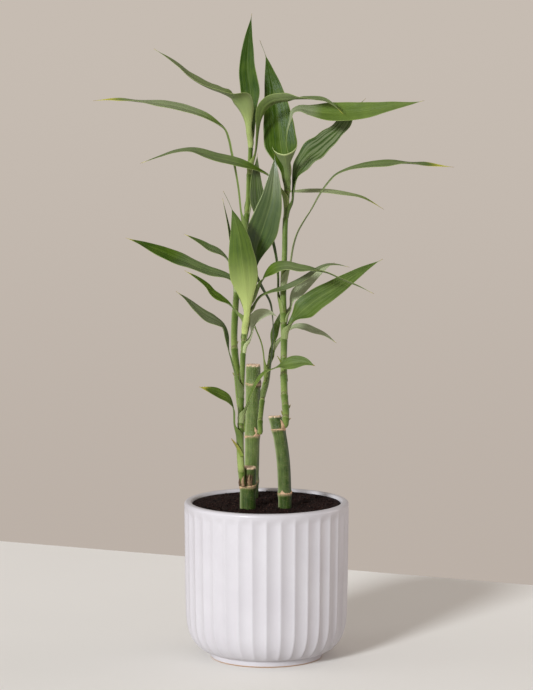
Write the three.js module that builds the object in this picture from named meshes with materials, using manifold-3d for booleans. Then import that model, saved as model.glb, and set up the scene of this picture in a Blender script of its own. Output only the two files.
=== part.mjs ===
// Lucky bamboo: three cut canes with leafy shoots, in soil, in a white fluted pot.
// Units are millimetres, +Z is up and the origin is the centre of the pot's flat underside.
// The plant's front faces -Y and +X is to its right.
import * as THREE from "three";
import * as BufferGeometryUtils from "three/addons/utils/BufferGeometryUtils.js";
import Module from "manifold-3d";

const wasm = await Module();
wasm.setup();

const UP = new THREE.Vector3(0, 0, 1);
// The plant is drawn as seen from here. A point keeps its place in that view when it moves along
// its line to this eye.
const FRONT_EYE = new THREE.Vector3(0, -2282, 508);
// Pieces that touch in the real plant keep this gap.
const SEAT_GAP = 0.3;

// Sizes of the pot
const POT = {
  height: 120,
  rimRadius: 62.5,
  innerRadius: 56.5,
  floor: 9,
  wallFoot: 31,
  footRadius: 42.5,
  footHeight: 5,
  flutes: 36,
  pointsPerFlute: 3,
  fluteDepth: 1.3,
  fluteTop: 115.6,
  fluteTopArch: 5,
  fluteEndArch: 4,
};

// Sizes of the soil
const SOIL = { top: 117.8, gap: 0.3, unevenness: 0.5, segments: 36 };

// A cane stands in a blind hole of the soil and ends in a cut across its top.
// Each ring is a height where a leaf once clasped the cane.
const CANE_SIDES = 12;
const RING_SWELL = 0.5;
const RING_HALF_HEIGHT = 1.3;
const CANES = {
  left: {
    line: [[-14, -24, 52], [-14, -24, 110], [-14, -24, 135], [-13.8, -24, 150]],
    radius: 6,
    rings: [135],
  },
  middle: {
    line: [[-13, 26, 52], [-12, 27, 110], [-10.8, 27, 166], [-10.2, 27, 206], [-10.2, 27, 221]],
    radius: 5.6,
    rings: [131, 166, 206],
  },
  right: {
    line: [[13.5, -22, 50], [13.9, -22, 112], [13.7, -22, 131], [11.8, -21.5, 161], [8.9, -21, 178],
      [6.2, -20, 188]],
    radius: 5,
    rings: [129, 178],
  },
};

// A shoot is a slim stem that grows beside a ring of its cane and thins towards its tip.
const SHOOT_SIDES = 8;
const NODE_SWELL = 0.22;
const NODE_HALF_HEIGHT = 1.4;
const SHOOTS = {
  left: {
    line: [[-18.2, -32, 137], [-18.8, -32, 150], [-19.4, -31.5, 171], [-19.4, -31, 180],
      [-19, -30, 201], [-18, -28.5, 224], [-17, -27, 246], [-15.4, -26, 261], [-14.3, -25, 271]],
    base: 2.4,
    tip: 1.5,
    nodes: [179, 207, 236],
  },
  middle: {
    line: [[-4.6, 20.4, 168], [-4.9, 19.8, 178], [-4.2, 19, 186], [-3.2, 18, 195], [-2.4, 17, 202],
      [-0.7, 15, 210], [0.8, 13.5, 218], [2.2, 12, 224], [5, 10, 234], [7.2, 8.5, 241]],
    base: 2,
    tip: 1.2,
    nodes: [178, 194, 208, 220],
  },
  back: {
    line: [[-15.6, 33.6, 168], [-18, 34, 177], [-20, 33, 188], [-22, 30, 210], [-24.6, 25, 236],
      [-23.7, 20, 264], [-21.6, 15, 287], [-18.6, 11, 310], [-15.2, 8, 333], [-13.8, 6, 348],
      [-13.1, 4, 367], [-12, 2, 386], [-11.3, 1, 400]],
    base: 2.7,
    tip: 1.5,
    nodes: [211, 233, 262, 300],
  },
  right: {
    line: [[13.9, -26.5, 180], [14.4, -26.5, 192], [13.4, -25.5, 204], [13, -24.5, 219],
      [12.9, -23, 231], [13.1, -21.7, 245], [12.7, -20, 268], [12.5, -18, 285], [13.6, -16, 312],
      [13.9, -14, 330], [15.1, -12, 347], [15.8, -10.5, 361], [16, -10, 370]],
    base: 2.6,
    tip: 1.5,
    nodes: [187, 196, 204, 219, 231, 256],
  },
};

// A leaf is one channelled sheet. Its base clasps the shoot at height "from", on the side that
// "heading" gives in degrees (0 is +X, 90 is +Y), for the length "clasp". From there the rib runs
// through the points of "rib" to the tip. Blade sizes: "width" is measured round the channel,
// "widest" is how far along the leaf that is, "neck" is half the width of the narrow part, and
// "fold" is half the angle that the channel spans there. "spread" is the heading of the blade,
// "roll" lists how far it is turned about its rib, in degrees, at each share of the length, and
// "tail" is the share of the stretch past the widest place that is a hair fine tip. "lean" is how
// far the tip moves back (or forward, if negative) along its line to the front eye. "neckEnd" is
// how far along a long neck reaches, and "folds" lists the fold where one angle isn't enough. A
// leaf that is widest at its very end was cut short there and stands open like a cup.
const LEAF = {
  thickness: 0.8,
  claspAngle: 88,
  neckFold: 50,
  neckReach: 12,
  tipFoldGain: 1.3,
  fall: 1.45,
  tipHalfWidth: 0.35,
  tail: 0.06,
  stripsAcross: 4,
  step: 10,
};
const LEAVES = {
  left: [
    { from: 147, clasp: 27, heading: 195, spread: 190, width: 9, widest: 0.8, neck: 1.8, fold: 16,
      roll: [[0.5, 0], [0.75, -50], [1, -35]], lean: -14,
      rib: [[-24.2, -34.5, 183], [-25.2, -36, 197], [-28.4, -38, 203], [-35, -40, 207], [-42, -42, 210],
        [-50, -44, 213]] },
    { from: 184, clasp: 4, heading: -30, spread: 0, width: 12, widest: 0.8, neck: 1.7, fold: 14,
      neckEnd: 0.6,
      roll: [[0, 0], [0.3, 55], [0.45, 55], [0.62, 4], [0.75, 50], [1, 50]], lean: -8,
      rib: [[-14, -34, 198], [-9.4, -35, 211], [-5.6, -35, 218], [-1, -35, 223], [4, -35, 225],
        [12, -35, 228], [21, -36, 230], [29, -37, 230.5], [36, -38, 228]] },
    { from: 203, clasp: 5, heading: 205, spread: 195, width: 13, widest: 0.6, neck: 1.7, fold: 14,
      neckEnd: 0.3, roll: [[0.25, 0], [0.46, -36], [0.56, -22], [0.74, -44], [1, -30]], lean: -18,
      rib: [[-22.4, -33, 217], [-25.6, -33, 229], [-28.4, -34, 240], [-30.2, -35, 250], [-33, -35, 257.4],
        [-38, -36, 261], [-44.6, -37, 264.4], [-52, -38, 271], [-59.6, -39, 278], [-67, -41, 284]] },
    { from: 236, clasp: 4.5, heading: 25, spread: 10, width: 10, widest: 0.62, neck: 1.8, fold: 30,
      roll: [[0.3, 0], [0.6, 50], [1, 40]], lean: 6,
      rib: [[-12.8, -23.6, 244], [-10.6, -21.6, 251], [-9, -20, 259], [-6.5, -18, 263], [-2, -16, 265],
        [4, -14, 264.5], [8, -13, 262]] },
    { from: 244.6, clasp: 3.4, heading: 75, spread: 185, width: 13, widest: 0.72, neck: 1.7, fold: 12,
      roll: [[0.3, 0], [0.5, -30], [0.75, -45], [1, -30]], lean: 26,
      rib: [[-13.6, -20.5, 260], [-16, -19.5, 270], [-19, -18.5, 278], [-22, -18, 285],
        [-24.5, -17, 289.5], [-31, -16, 293], [-45, -15, 297], [-62, -15, 304], [-80, -17, 312],
        [-105, -20, 322]] },
    { from: 250.5, clasp: 3.5, heading: -90, spread: -90, width: 21.4, widest: 0.44, neck: 2.4, fold: 14,
      roll: [[0, 0], [1, 0]], tail: 0.25,
      rib: [[-15.4, -31.8, 259], [-14.6, -33.6, 268], [-15, -35, 280], [-16.8, -37, 296],
        [-18.6, -39, 311], [-20, -40, 323], [-23, -40, 337], [-27, -38, 348], [-32, -36, 358]] },
    { from: 257, clasp: 2.4, heading: 200, spread: 185, width: 8.5, widest: 0.5, neck: 1.6, fold: 14,
      roll: [[0.2, 0], [0.4, -35], [1, -30]], lean: 16,
      rib: [[-22.2, -27.4, 266], [-26, -26.4, 271], [-33, -24, 276], [-40, -24, 281], [-44, -24, 286],
        [-50, -24, 291], [-56, -25, 295], [-61, -26, 298]] },
    { from: 261.3, clasp: 2.4, heading: 42, spread: 0, width: 9, widest: 0.5, neck: 1.6, fold: 14,
      roll: [[0.2, 0], [0.45, 22], [1, 20]], lean: 4,
      rib: [[-9.8, -21.4, 269], [-7.8, -22.4, 273.6], [-4.6, -24, 278], [3, -26.5, 281.8], [14, -28.5, 285],
        [22, -28, 288.6], [31, -25, 294], [38, -24, 299], [46, -23, 302], [53, -22, 302],
        [62, -21, 300]] },
    { from: 267.2, clasp: 2.4, heading: -70, spread: 0, width: 12.5, widest: 0.36, neck: 2.2, fold: 14,
      roll: [[0.15, 0], [0.35, 32], [0.5, 25], [0.66, -3], [0.85, -22], [1, -22]], lean: -24,
      rib: [[-9.4, -28.6, 277], [-5.2, -29.8, 287], [0, -31, 295], [7, -32, 300.5], [15, -33, 302],
        [25, -34, 300], [35, -34, 299], [45, -33, 297], [56, -32, 292], [68, -31, 287], [80, -30, 281]] },
  ],
  middle: [
    { from: 197, clasp: 4, heading: -40, spread: 90, width: 23, widest: 0.7, neck: 1.3, fold: 16,
      neckEnd: 0.53, roll: [[0, 0], [1, 0]],
      rib: [[1.6, 11.2, 210], [3, 7, 222], [4.6, 4, 238], [5, 1, 256], [3, -3, 272], [-3.4, -8, 284],
        [-8.6, -12, 296], [-7.6, -16, 312], [-1.6, -20, 332], [3.4, -22, 350], [5.4, -22, 369],
        [6.4, -20, 385]] },
    { from: 213, clasp: 3.5, heading: 190, spread: 180, width: 6.5, widest: 0.6, neck: 1.4, fold: 20,
      roll: [[0.2, 0], [0.5, -28], [1, -25]], lean: 8,
      rib: [[-4, 10, 239], [-9, 8, 252], [-17, 6, 273], [-24.5, 4, 303], [-29, 2, 330], [-33, 0, 350]] },
    { from: 226, clasp: 3.5, heading: 95, spread: 60, width: 7, widest: 0.5, neck: 1.4, fold: 24,
      roll: [[0, 0], [1, 0]], lean: 8,
      rib: [[4.6, 15, 237], [7, 15.5, 249], [10, 14.5, 258], [13, 13, 267]] },
    { from: 234, clasp: 3.5, heading: 0, spread: 0, width: 8, widest: 0.55, neck: 1.4, fold: 20,
      roll: [[0.2, 0], [0.45, 35], [1, 30]], lean: 14,
      rib: [[13, 7, 245], [17, 6, 249.5], [21, 5.5, 252], [28, 5, 252], [36, 5, 249.5], [43, 5, 247],
        [53, 5, 240]] },
  ],
  back: [
    { from: 278, clasp: 5, heading: 190, spread: 185, width: 9, widest: 0.6, neck: 1.6, fold: 16,
      roll: [[0.3, 0], [0.6, -32], [1, -25]], lean: 18,
      rib: [[-27, 12, 297], [-30.5, 10, 304], [-35, 8, 308], [-44, 6, 312.5], [-49, 4, 316],
        [-56, 3, 320], [-62, 2, 323]] },
    { from: 322, clasp: 6, heading: 195, spread: 180, width: 11, widest: 0.68, neck: 1.7, fold: 14,
      roll: [[0.4, 0], [0.55, -28], [0.7, -28], [0.82, -6], [0.9, -25], [1, -20]], lean: 34,
      rib: [[-20, 7, 343], [-21.6, 6, 358], [-24, 5, 372], [-26.6, 4, 384], [-28.6, 3.5, 394],
        [-31.4, 3, 401.6], [-37, 3, 406], [-45, 3, 411], [-58, 3, 416], [-74, 3, 420], [-92, 3, 422],
        [-117, 3, 424], [-130, 3, 423]] },
    { from: 338, clasp: 5, heading: 70, spread: 0, width: 8, widest: 0.62, neck: 1.6, fold: 14,
      roll: [[0.3, 0], [0.5, 20], [1, 18]], lean: 14,
      rib: [[-9, 15.5, 351], [3, 19, 354.5], [20, 20, 353.6], [39, 21, 354], [53, 22, 353],
        [63, 23, 351.5], [73, 23, 349], [80, 24, 345.5], [89, 24, 340]] },
    { from: 368, clasp: 5, heading: -25, spread: 0, width: 14, widest: 0.55, neck: 1.7, fold: 26,
      roll: [[0.25, 0], [0.45, -40], [0.6, -34], [0.72, 4], [0.85, 26], [1, 20]],
      rib: [[-7.6, 0, 386], [-6, -3, 400], [-4.4, -6, 411], [-2, -9, 418], [3.4, -12, 422.8],
        [12, -16, 424.8], [24, -19, 425.4], [34, -21, 425.4], [43, -22, 424.4], [50, -24, 420.5],
        [57, -25, 414]] },
    { from: 388, clasp: 3.5, heading: -110, spread: 180, width: 26, widest: 0.34, neck: 3.4,
      folds: [[0.3, 85], [0.47, 26], [1, 14]], lean: -18,
      roll: [[0, 0], [0.12, 10], [0.32, 38], [0.42, 0], [0.5, -6], [0.75, -12], [1, -14]],
      rib: [[-13.6, -4.6, 400], [-15.6, -7, 410], [-19.6, -9, 418.5], [-26, -10, 425.5],
        [-33.5, -10.5, 429.6], [-42, -10.5, 432.8], [-49, -10, 436.2], [-58, -9, 442.4], [-66, -7, 450],
        [-73, -6, 455], [-84, -5, 462]] },
    { from: 394, clasp: 4, heading: 80, spread: 75, width: 15, widest: 0.4, neck: 3.4, fold: 24,
      roll: [[0, 0], [1, 14]], lean: 6,
      rib: [[-11, 4, 412], [-12, 5, 430], [-14.2, 5, 446], [-13.8, 4, 465], [-11, 2, 488]] },
  ],
  right: [
    { from: 246, clasp: 4.5, heading: -20, spread: 0, width: 18, widest: 0.28, neck: 3.2, fold: 12,
      roll: [[0.05, 0], [0.18, 60], [0.4, 72], [0.8, 76], [1, 70]], lean: 14,
      rib: [[17.8, -23, 255], [19.8, -23, 260], [25.4, -22.5, 266], [36, -22, 275], [48.6, -22, 283],
        [61, -21, 291], [72, -20, 298], [87, -18, 306]] },
    { from: 258, clasp: 3, heading: 55, spread: 10, width: 11, widest: 0.4, neck: 1.6, fold: 18,
      roll: [[0.2, 0], [0.4, 45], [1, 35]], lean: 12,
      rib: [[18, -14.4, 268], [20, -12.6, 275], [24.6, -12, 281.4], [32, -11, 288.4], [40, -8, 295],
        [46.6, -5.5, 299.6], [51, -4, 302]] },
    { from: 265.2, clasp: 4.5, heading: 150, spread: 115, width: 13, widest: 0.7, neck: 1.4, fold: 16,
      neckEnd: 0.45, roll: [[0, 0], [1, 0]], lean: 4,
      rib: [[8.6, -15, 278], [8.4, -11, 292], [6.8, -8, 308], [3.6, -6, 322], [-2, -5, 334],
        [-6.4, -5, 347], [-8, -5, 364], [-6.8, -6, 384]] },
    { from: 285, clasp: 5, heading: -20, spread: 0, width: 12, widest: 0.76, neck: 1.7, fold: 14,
      neckEnd: 0.5, roll: [[0.25, 0], [0.45, 20], [0.7, 26], [0.82, 2], [0.9, 22], [1, 16]], lean: -26,
      rib: [[18.4, -20, 304], [20.4, -21.5, 316], [23.4, -22.5, 326], [28, -22, 334.5], [34, -21, 344],
        [39.8, -19, 354.2], [45.6, -17, 362.4], [51.8, -15, 368.8], [60, -13, 372.4], [70, -11, 374.6],
        [90, -9, 376.6], [105, -9, 377], [117, -9, 376], [140, -9, 374]] },
    { from: 336, clasp: 5, heading: 5, spread: 0, width: 18.5, widest: 0.5, neck: 2.6, fold: 16,
      neckEnd: 0.22, roll: [[0.12, 0], [0.36, 58], [1, 60]], lean: 22,
      rib: [[19.6, -11.6, 347], [20.6, -10.6, 356], [23, -10, 370], [30.8, -9, 382], [41.8, -8, 391],
        [53, -7, 401], [62, -6, 413], [74, -5, 425]] },
    { from: 344, clasp: 4.5, heading: 205, spread: 180, width: 13, widest: 0.5, neck: 1.7, fold: 14,
      roll: [[0.15, 0], [0.35, -30], [0.6, -26], [0.8, -12], [1, -20]], lean: -16,
      rib: [[8.4, -14, 361], [2, -13.5, 367.5], [-7, -12.5, 372], [-16, -12, 375.5], [-26, -11, 378.5],
        [-36, -11, 381], [-46, -11, 384], [-57, -11, 386.5], [-68, -11, 385.5], [-80, -11, 382],
        [-94, -11, 377]] },
    { from: 353.4, clasp: 3, heading: 95, spread: 90, width: 25, widest: 0.34, neck: 2.8, fold: 16,
      roll: [[0, 0], [1, 0]], tail: 0.16, lean: 12,
      rib: [[13.6, -4, 368], [12, 1, 380], [10.2, 5, 394], [8.6, 8, 409], [6, 10, 427], [2.8, 11, 442],
        [-0.2, 10, 455], [-5, 8, 468]] },
    { from: 358.5, clasp: 3, heading: -90, spread: -90, width: 27, widest: 1, neck: 3,
      folds: [[1, 84]], roll: [[0, 0], [1, 0]],
      rib: [[15.6, -15.6, 366], [15, -17.6, 373], [14.2, -21.4, 379.6], [13.4, -27, 384.8]] },
    { from: 365, clasp: 3.5, heading: 15, spread: 0, width: 17.6, widest: 0.55, neck: 1, fold: 18,
      neckEnd: 0.28, roll: [[0.15, 0], [0.33, 42], [0.7, 56], [1, 45]], lean: 12,
      rib: [[16.8, -11.4, 382], [15, -12.6, 392], [15.6, -14, 401], [18, -15.2, 410], [19.6, -15.8, 415.8],
        [24, -16.4, 417.8], [32, -17.5, 416.4], [43, -19, 415.2], [58, -20, 415.2], [77, -21, 417],
        [95, -21, 420], [108, -20, 422], [117, -20, 424]] },
  ],
};

// Finishes, one material per node
const FINISHES = {
  pot: { color: 0xe9e4e8, roughness: 0.38, metalness: 0 },
  soil: { color: 0x20160f, roughness: 1, metalness: 0 },
  cane: { color: 0x4f7a34, roughness: 0.5, metalness: 0 },
  shoot: { color: 0x86a552, roughness: 0.5, metalness: 0 },
  leaf: { color: 0x4b7a3a, roughness: 0.45, metalness: 0 },
};

function toVectors(points) {
  return points.map((point) => new THREE.Vector3(...point));
}

function smooth(share) {
  const held = THREE.MathUtils.clamp(share, 0, 1);
  return held * held * (3 - 2 * held);
}

// Reads a list of [share, value] pairs, easing from each value to the next.
function easedValue(pairs, share) {
  if (share <= pairs[0][0]) {
    return pairs[0][1];
  }
  for (let i = 1; i < pairs.length; i += 1) {
    const [end, value] = pairs[i];
    const [start, before] = pairs[i - 1];
    if (share <= end) {
      return before + (value - before) * smooth((share - start) / (end - start));
    }
  }
  return pairs[pairs.length - 1][1];
}

// A smooth line through points. Shares run from 0 to 1 by the distance from point to point.
function smoothLine(points) {
  const knots = [0];
  for (let i = 1; i < points.length; i += 1) {
    knots.push(knots[i - 1] + points[i].distanceTo(points[i - 1]));
  }
  const chords = [];
  for (let i = 1; i < points.length; i += 1) {
    chords.push(points[i].clone().sub(points[i - 1]).divideScalar(knots[i] - knots[i - 1]));
  }
  const slopes = points.map((point, i) => {
    if (i === 0) {
      return chords[0];
    }
    if (i === points.length - 1) {
      return chords[i - 1];
    }
    const before = knots[i] - knots[i - 1];
    const after = knots[i + 1] - knots[i];
    return chords[i - 1].clone().multiplyScalar(after)
      .addScaledVector(chords[i], before)
      .divideScalar(before + after);
  });
  const length = knots[knots.length - 1];

  function at(share) {
    const reach = THREE.MathUtils.clamp(share, 0, 1) * length;
    let i = 1;
    while (i < points.length - 1 && knots[i] < reach) {
      i += 1;
    }
    const span = knots[i] - knots[i - 1];
    const t = (reach - knots[i - 1]) / span;
    const t2 = t * t;
    const t3 = t2 * t;
    return points[i - 1].clone().multiplyScalar(2 * t3 - 3 * t2 + 1)
      .addScaledVector(points[i], 3 * t2 - 2 * t3)
      .addScaledVector(slopes[i - 1], (t3 - 2 * t2 + t) * span)
      .addScaledVector(slopes[i], (t3 - t2) * span);
  }

  function tangent(share) {
    const probe = 0.004;
    return at(share + probe).sub(at(share - probe)).normalize();
  }

  return { length, at, tangent };
}

// Share of a rising line at which it reaches a height.
function shareAtHeight(line, height) {
  let low = 0;
  let high = 1;
  for (let i = 0; i < 30; i += 1) {
    const middle = (low + high) / 2;
    if (line.at(middle).z < height) {
      low = middle;
    } else {
      high = middle;
    }
  }
  return (low + high) / 2;
}

function geometryFrom(vertices, triangles) {
  const geometry = new THREE.BufferGeometry();
  const places = vertices.flatMap((vertex) => vertex.toArray());
  geometry.setAttribute("position", new THREE.Float32BufferAttribute(places, 3));
  geometry.setIndex(triangles.flat());
  return geometry;
}

// Joins closed loops of equal length into a skin, and closes both ends with fans.
function skinOfLoops(loops) {
  const around = loops[0].length;
  const vertices = loops.flat();
  const triangles = [];
  for (let i = 0; i < loops.length - 1; i += 1) {
    for (let j = 0; j < around; j += 1) {
      const next = (j + 1) % around;
      const a = i * around + j;
      const b = i * around + next;
      const c = a + around;
      const d = b + around;
      triangles.push([a, b, d], [a, d, c]);
    }
  }
  const last = (loops.length - 1) * around;
  const middleOf = (loop) => {
    const sum = loop.reduce((total, vertex) => total.add(vertex), new THREE.Vector3());
    return sum.divideScalar(around);
  };
  const first = vertices.push(middleOf(loops[0])) - 1;
  const end = vertices.push(middleOf(loops[loops.length - 1])) - 1;
  for (let j = 0; j < around; j += 1) {
    const next = (j + 1) % around;
    triangles.push([first, next, j], [end, last + j, last + next]);
  }
  return geometryFrom(vertices, triangles);
}

// A round stem along a line, with a radius for each share of it.
function stem(line, stations, radiusAt, sides) {
  const loops = stations.map((share) => {
    const centre = line.at(share);
    const along = line.tangent(share);
    const side = new THREE.Vector3(1, 0, 0).addScaledVector(along, -along.x).normalize();
    const front = along.clone().cross(side);
    return Array.from({ length: sides }, (_, j) => {
      const turn = (2 * Math.PI * j) / sides;
      const radius = radiusAt(share);
      return centre.clone()
        .addScaledVector(side, radius * Math.cos(turn))
        .addScaledVector(front, radius * Math.sin(turn));
    });
  });
  return skinOfLoops(loops);
}

// Stations every few millimetres, with three more at each ring so that its swelling has an edge.
function stemStations(line, heights, halfHeight, step) {
  const count = Math.round(line.length / step);
  const rings = heights.map((height) => shareAtHeight(line, height));
  const half = halfHeight / line.length;
  const even = Array.from({ length: count + 1 }, (_, i) => i / count)
    .filter((share) => rings.every((ring) => Math.abs(share - ring) > 2 * half));
  const near = rings.flatMap((ring) => [ring - half, ring, ring + half]);
  return [...even, ...near].sort((a, b) => a - b);
}

// How much a ring swells the stem at a share of its line.
function ringSwell(line, heights, halfHeight, share) {
  const height = line.at(share).z;
  return Math.max(0, ...heights.map((ring) => 1 - Math.abs(height - ring) / halfHeight));
}

function caneSolid(cane, extra = 0) {
  const line = smoothLine(toVectors(cane.line));
  const stations = stemStations(line, cane.rings, RING_HALF_HEIGHT, 16);
  const radiusAt = (share) => (
    cane.radius + extra + RING_SWELL * ringSwell(line, cane.rings, RING_HALF_HEIGHT, share)
  );
  return stem(line, stations, radiusAt, CANE_SIDES);
}

function shootLine(shoot) {
  return smoothLine(toVectors(shoot.line));
}

function shootRadius(shoot, line, share) {
  const taper = shoot.base + (shoot.tip - shoot.base) * share ** 1.6;
  return taper + NODE_SWELL * ringSwell(line, shoot.nodes, NODE_HALF_HEIGHT, share);
}

function shootSolid(shoot) {
  const line = shootLine(shoot);
  const stations = stemStations(line, shoot.nodes, NODE_HALF_HEIGHT, 9);
  return stem(line, stations, (share) => shootRadius(shoot, line, share), SHOOT_SIDES);
}

// Points of the rib, which lean further back or forward towards the tip.
function leanedRib(leaf) {
  return toVectors(leaf.rib).map((point, i) => {
    const depth = point.y + (leaf.lean ?? 0) * ((i + 1) / leaf.rib.length) ** 1.5;
    return FRONT_EYE.clone().lerp(point, (depth - FRONT_EYE.y) / (point.y - FRONT_EYE.y));
  });
}

// Frame of a leaf at a share of its length: rib point, side, upper normal, half width and fold.
function leafShape(leaf, shoot) {
  const stemLine = shootLine(shoot);
  const heading = THREE.MathUtils.degToRad(leaf.heading);
  const away = new THREE.Vector3(Math.cos(heading), Math.sin(heading), 0);
  const spread = THREE.MathUtils.degToRad(leaf.spread);
  const blade = new THREE.Vector3(Math.cos(spread), Math.sin(spread), 0);
  const baseSide = UP.clone().cross(away);
  const bladeSide = UP.clone().cross(blade);
  const baseShare = shareAtHeight(stemLine, leaf.from);
  const claspRadius = shootRadius(shoot, stemLine, baseShare) + SEAT_GAP + LEAF.thickness / 2 + 0.15;
  const claspPoints = [0, 0.5, 1].map((part) => (
    stemLine.at(shareAtHeight(stemLine, leaf.from + part * leaf.clasp)).addScaledVector(away, claspRadius)
  ));
  const rib = smoothLine([...claspPoints, ...leanedRib(leaf)]);
  const claspEnd = leaf.clasp / rib.length;
  const neckAt = Math.min(claspEnd + LEAF.neckReach / rib.length, leaf.widest * 0.55);
  const neckEnd = Math.max(neckAt, leaf.neckEnd ?? 0);
  const tail = leaf.tail ?? LEAF.tail;
  const bladeFolds = leaf.folds ?? [
    [leaf.widest * 0.9, leaf.fold],
    [1, leaf.fold * LEAF.tipFoldGain],
  ];
  const neckFold = Math.max(LEAF.neckFold, bladeFolds[0][1]);
  const halfWidths = [
    [claspEnd, claspRadius * THREE.MathUtils.degToRad(LEAF.claspAngle)],
    [neckAt, leaf.neck],
    [neckEnd, leaf.neck],
    [leaf.widest, leaf.width / 2],
  ];
  const folds = [[claspEnd, LEAF.claspAngle], [neckAt, neckFold], ...bladeFolds];

  function halfWidthAt(share) {
    if (share <= leaf.widest) {
      return easedValue(halfWidths, share);
    }
    const past = (share - leaf.widest) / (1 - leaf.widest) / (1 - tail);
    const fall = THREE.MathUtils.clamp(past, 0, 1) ** (LEAF.fall + 1.5 * tail);
    return LEAF.tipHalfWidth + (leaf.width / 2 - LEAF.tipHalfWidth) * (1 - fall);
  }

  return {
    length: rib.length,
    claspEnd,
    neckAt,
    at(share) {
      const along = rib.tangent(share);
      const turned = smooth((share - claspEnd) / (leaf.widest - claspEnd));
      const side = baseSide.clone().lerp(bladeSide, turned);
      side.addScaledVector(along, -side.dot(along)).normalize();
      const upper = along.clone().cross(side);
      const roll = share <= claspEnd ? 0 : THREE.MathUtils.degToRad(easedValue(leaf.roll, share));
      const level = side.clone();
      side.multiplyScalar(Math.cos(roll)).addScaledVector(upper, Math.sin(roll));
      upper.multiplyScalar(Math.cos(roll)).addScaledVector(level, -Math.sin(roll));
      return {
        point: rib.at(share),
        side,
        upper,
        halfWidth: halfWidthAt(share),
        fold: THREE.MathUtils.degToRad(easedValue(folds, share)),
      };
    },
  };
}

// Shares from start up to but not including end, evenly spaced.
function evenShares(start, end, spans) {
  return Array.from({ length: spans }, (_, i) => start + ((end - start) * i) / spans);
}

// A leaf as two skins of the same grid, one on each face, closed round the edge.
function leafSolid(leaf, shoot) {
  const shape = leafShape(leaf, shoot);
  const bladeLength = shape.length * (1 - shape.neckAt);
  const bladeSpans = THREE.MathUtils.clamp(Math.round(bladeLength / LEAF.step), 6, 12);
  const stations = [
    ...evenShares(0, shape.claspEnd, Math.ceil(leaf.clasp / LEAF.step)),
    ...evenShares(shape.claspEnd, shape.neckAt, 2),
    ...evenShares(shape.neckAt, 1, bladeSpans),
    1,
  ];
  const across = LEAF.stripsAcross + 1;
  const faces = [[], []];
  for (const share of stations) {
    const { point, side, upper, halfWidth, fold } = shape.at(share);
    const radius = halfWidth / fold;
    for (let j = 0; j < across; j += 1) {
      const turn = ((2 * j) / LEAF.stripsAcross - 1) * fold;
      const outward = side.clone().multiplyScalar(Math.sin(turn));
      outward.addScaledVector(upper, -Math.cos(turn));
      const centre = point.clone().addScaledVector(upper, radius);
      faces[0].push(centre.clone().addScaledVector(outward, radius - LEAF.thickness / 2));
      faces[1].push(centre.clone().addScaledVector(outward, radius + LEAF.thickness / 2));
    }
  }
  const offset = faces[0].length;
  const vertices = [...faces[0], ...faces[1]];
  const triangles = [];
  const addQuad = (a, b, c, d) => triangles.push([a, b, c], [a, c, d]);
  const rows = stations.length;
  for (let i = 0; i < rows - 1; i += 1) {
    for (let j = 0; j < across - 1; j += 1) {
      const a = i * across + j;
      const b = a + across;
      addQuad(a, b, b + 1, a + 1);
      triangles.push([a + offset, a + 1 + offset, b + 1 + offset]);
      triangles.push([a + offset, b + 1 + offset, b + offset]);
    }
    const left = i * across;
    const right = left + across - 1;
    addQuad(left, left + offset, left + across + offset, left + across);
    addQuad(right, right + across, right + across + offset, right + offset);
  }
  const end = (rows - 1) * across;
  for (let j = 0; j < across - 1; j += 1) {
    const k = end + j;
    addQuad(j, j + 1, j + 1 + offset, j + offset);
    addQuad(k, k + offset, k + 1 + offset, k + 1);
  }
  return geometryFrom(vertices, triangles);
}

// Outer radius of the pot's ridges at a height: a foot ring, a rounded bottom and a near upright wall.
function potRadius(height) {
  const wallTop = POT.rimRadius;
  const wallBottom = POT.rimRadius - 1.4;
  if (height >= POT.wallFoot) {
    const rise = (height - POT.wallFoot) / (POT.height - POT.wallFoot);
    return wallBottom + (wallTop - wallBottom) * Math.sqrt(rise);
  }
  const drop = (POT.wallFoot - height) / (POT.wallFoot - POT.footHeight);
  const roundingReach = wallBottom - POT.footRadius + 1.2;
  return wallBottom - roundingReach * (1 - Math.sqrt(1 - 0.985 * Math.min(1, drop) ** 2));
}

// Depth of a flute at a height, where across runs from -1 to 1 between its two ridges.
// Both ends of a flute are rounded like an arch.
function fluteCut(height, across) {
  const fromTop = (POT.fluteTop - height) / POT.fluteTopArch;
  const fromEnd = (height - POT.footHeight - 0.6) / POT.fluteEndArch;
  const near = Math.min(fromTop, fromEnd);
  const end = near < 1 ? (1 - near) ** 2 : 0;
  const narrowing = potRadius(height) / POT.rimRadius;
  return POT.fluteDepth * narrowing * Math.max(0, 1 - across ** 2 - end);
}

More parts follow.
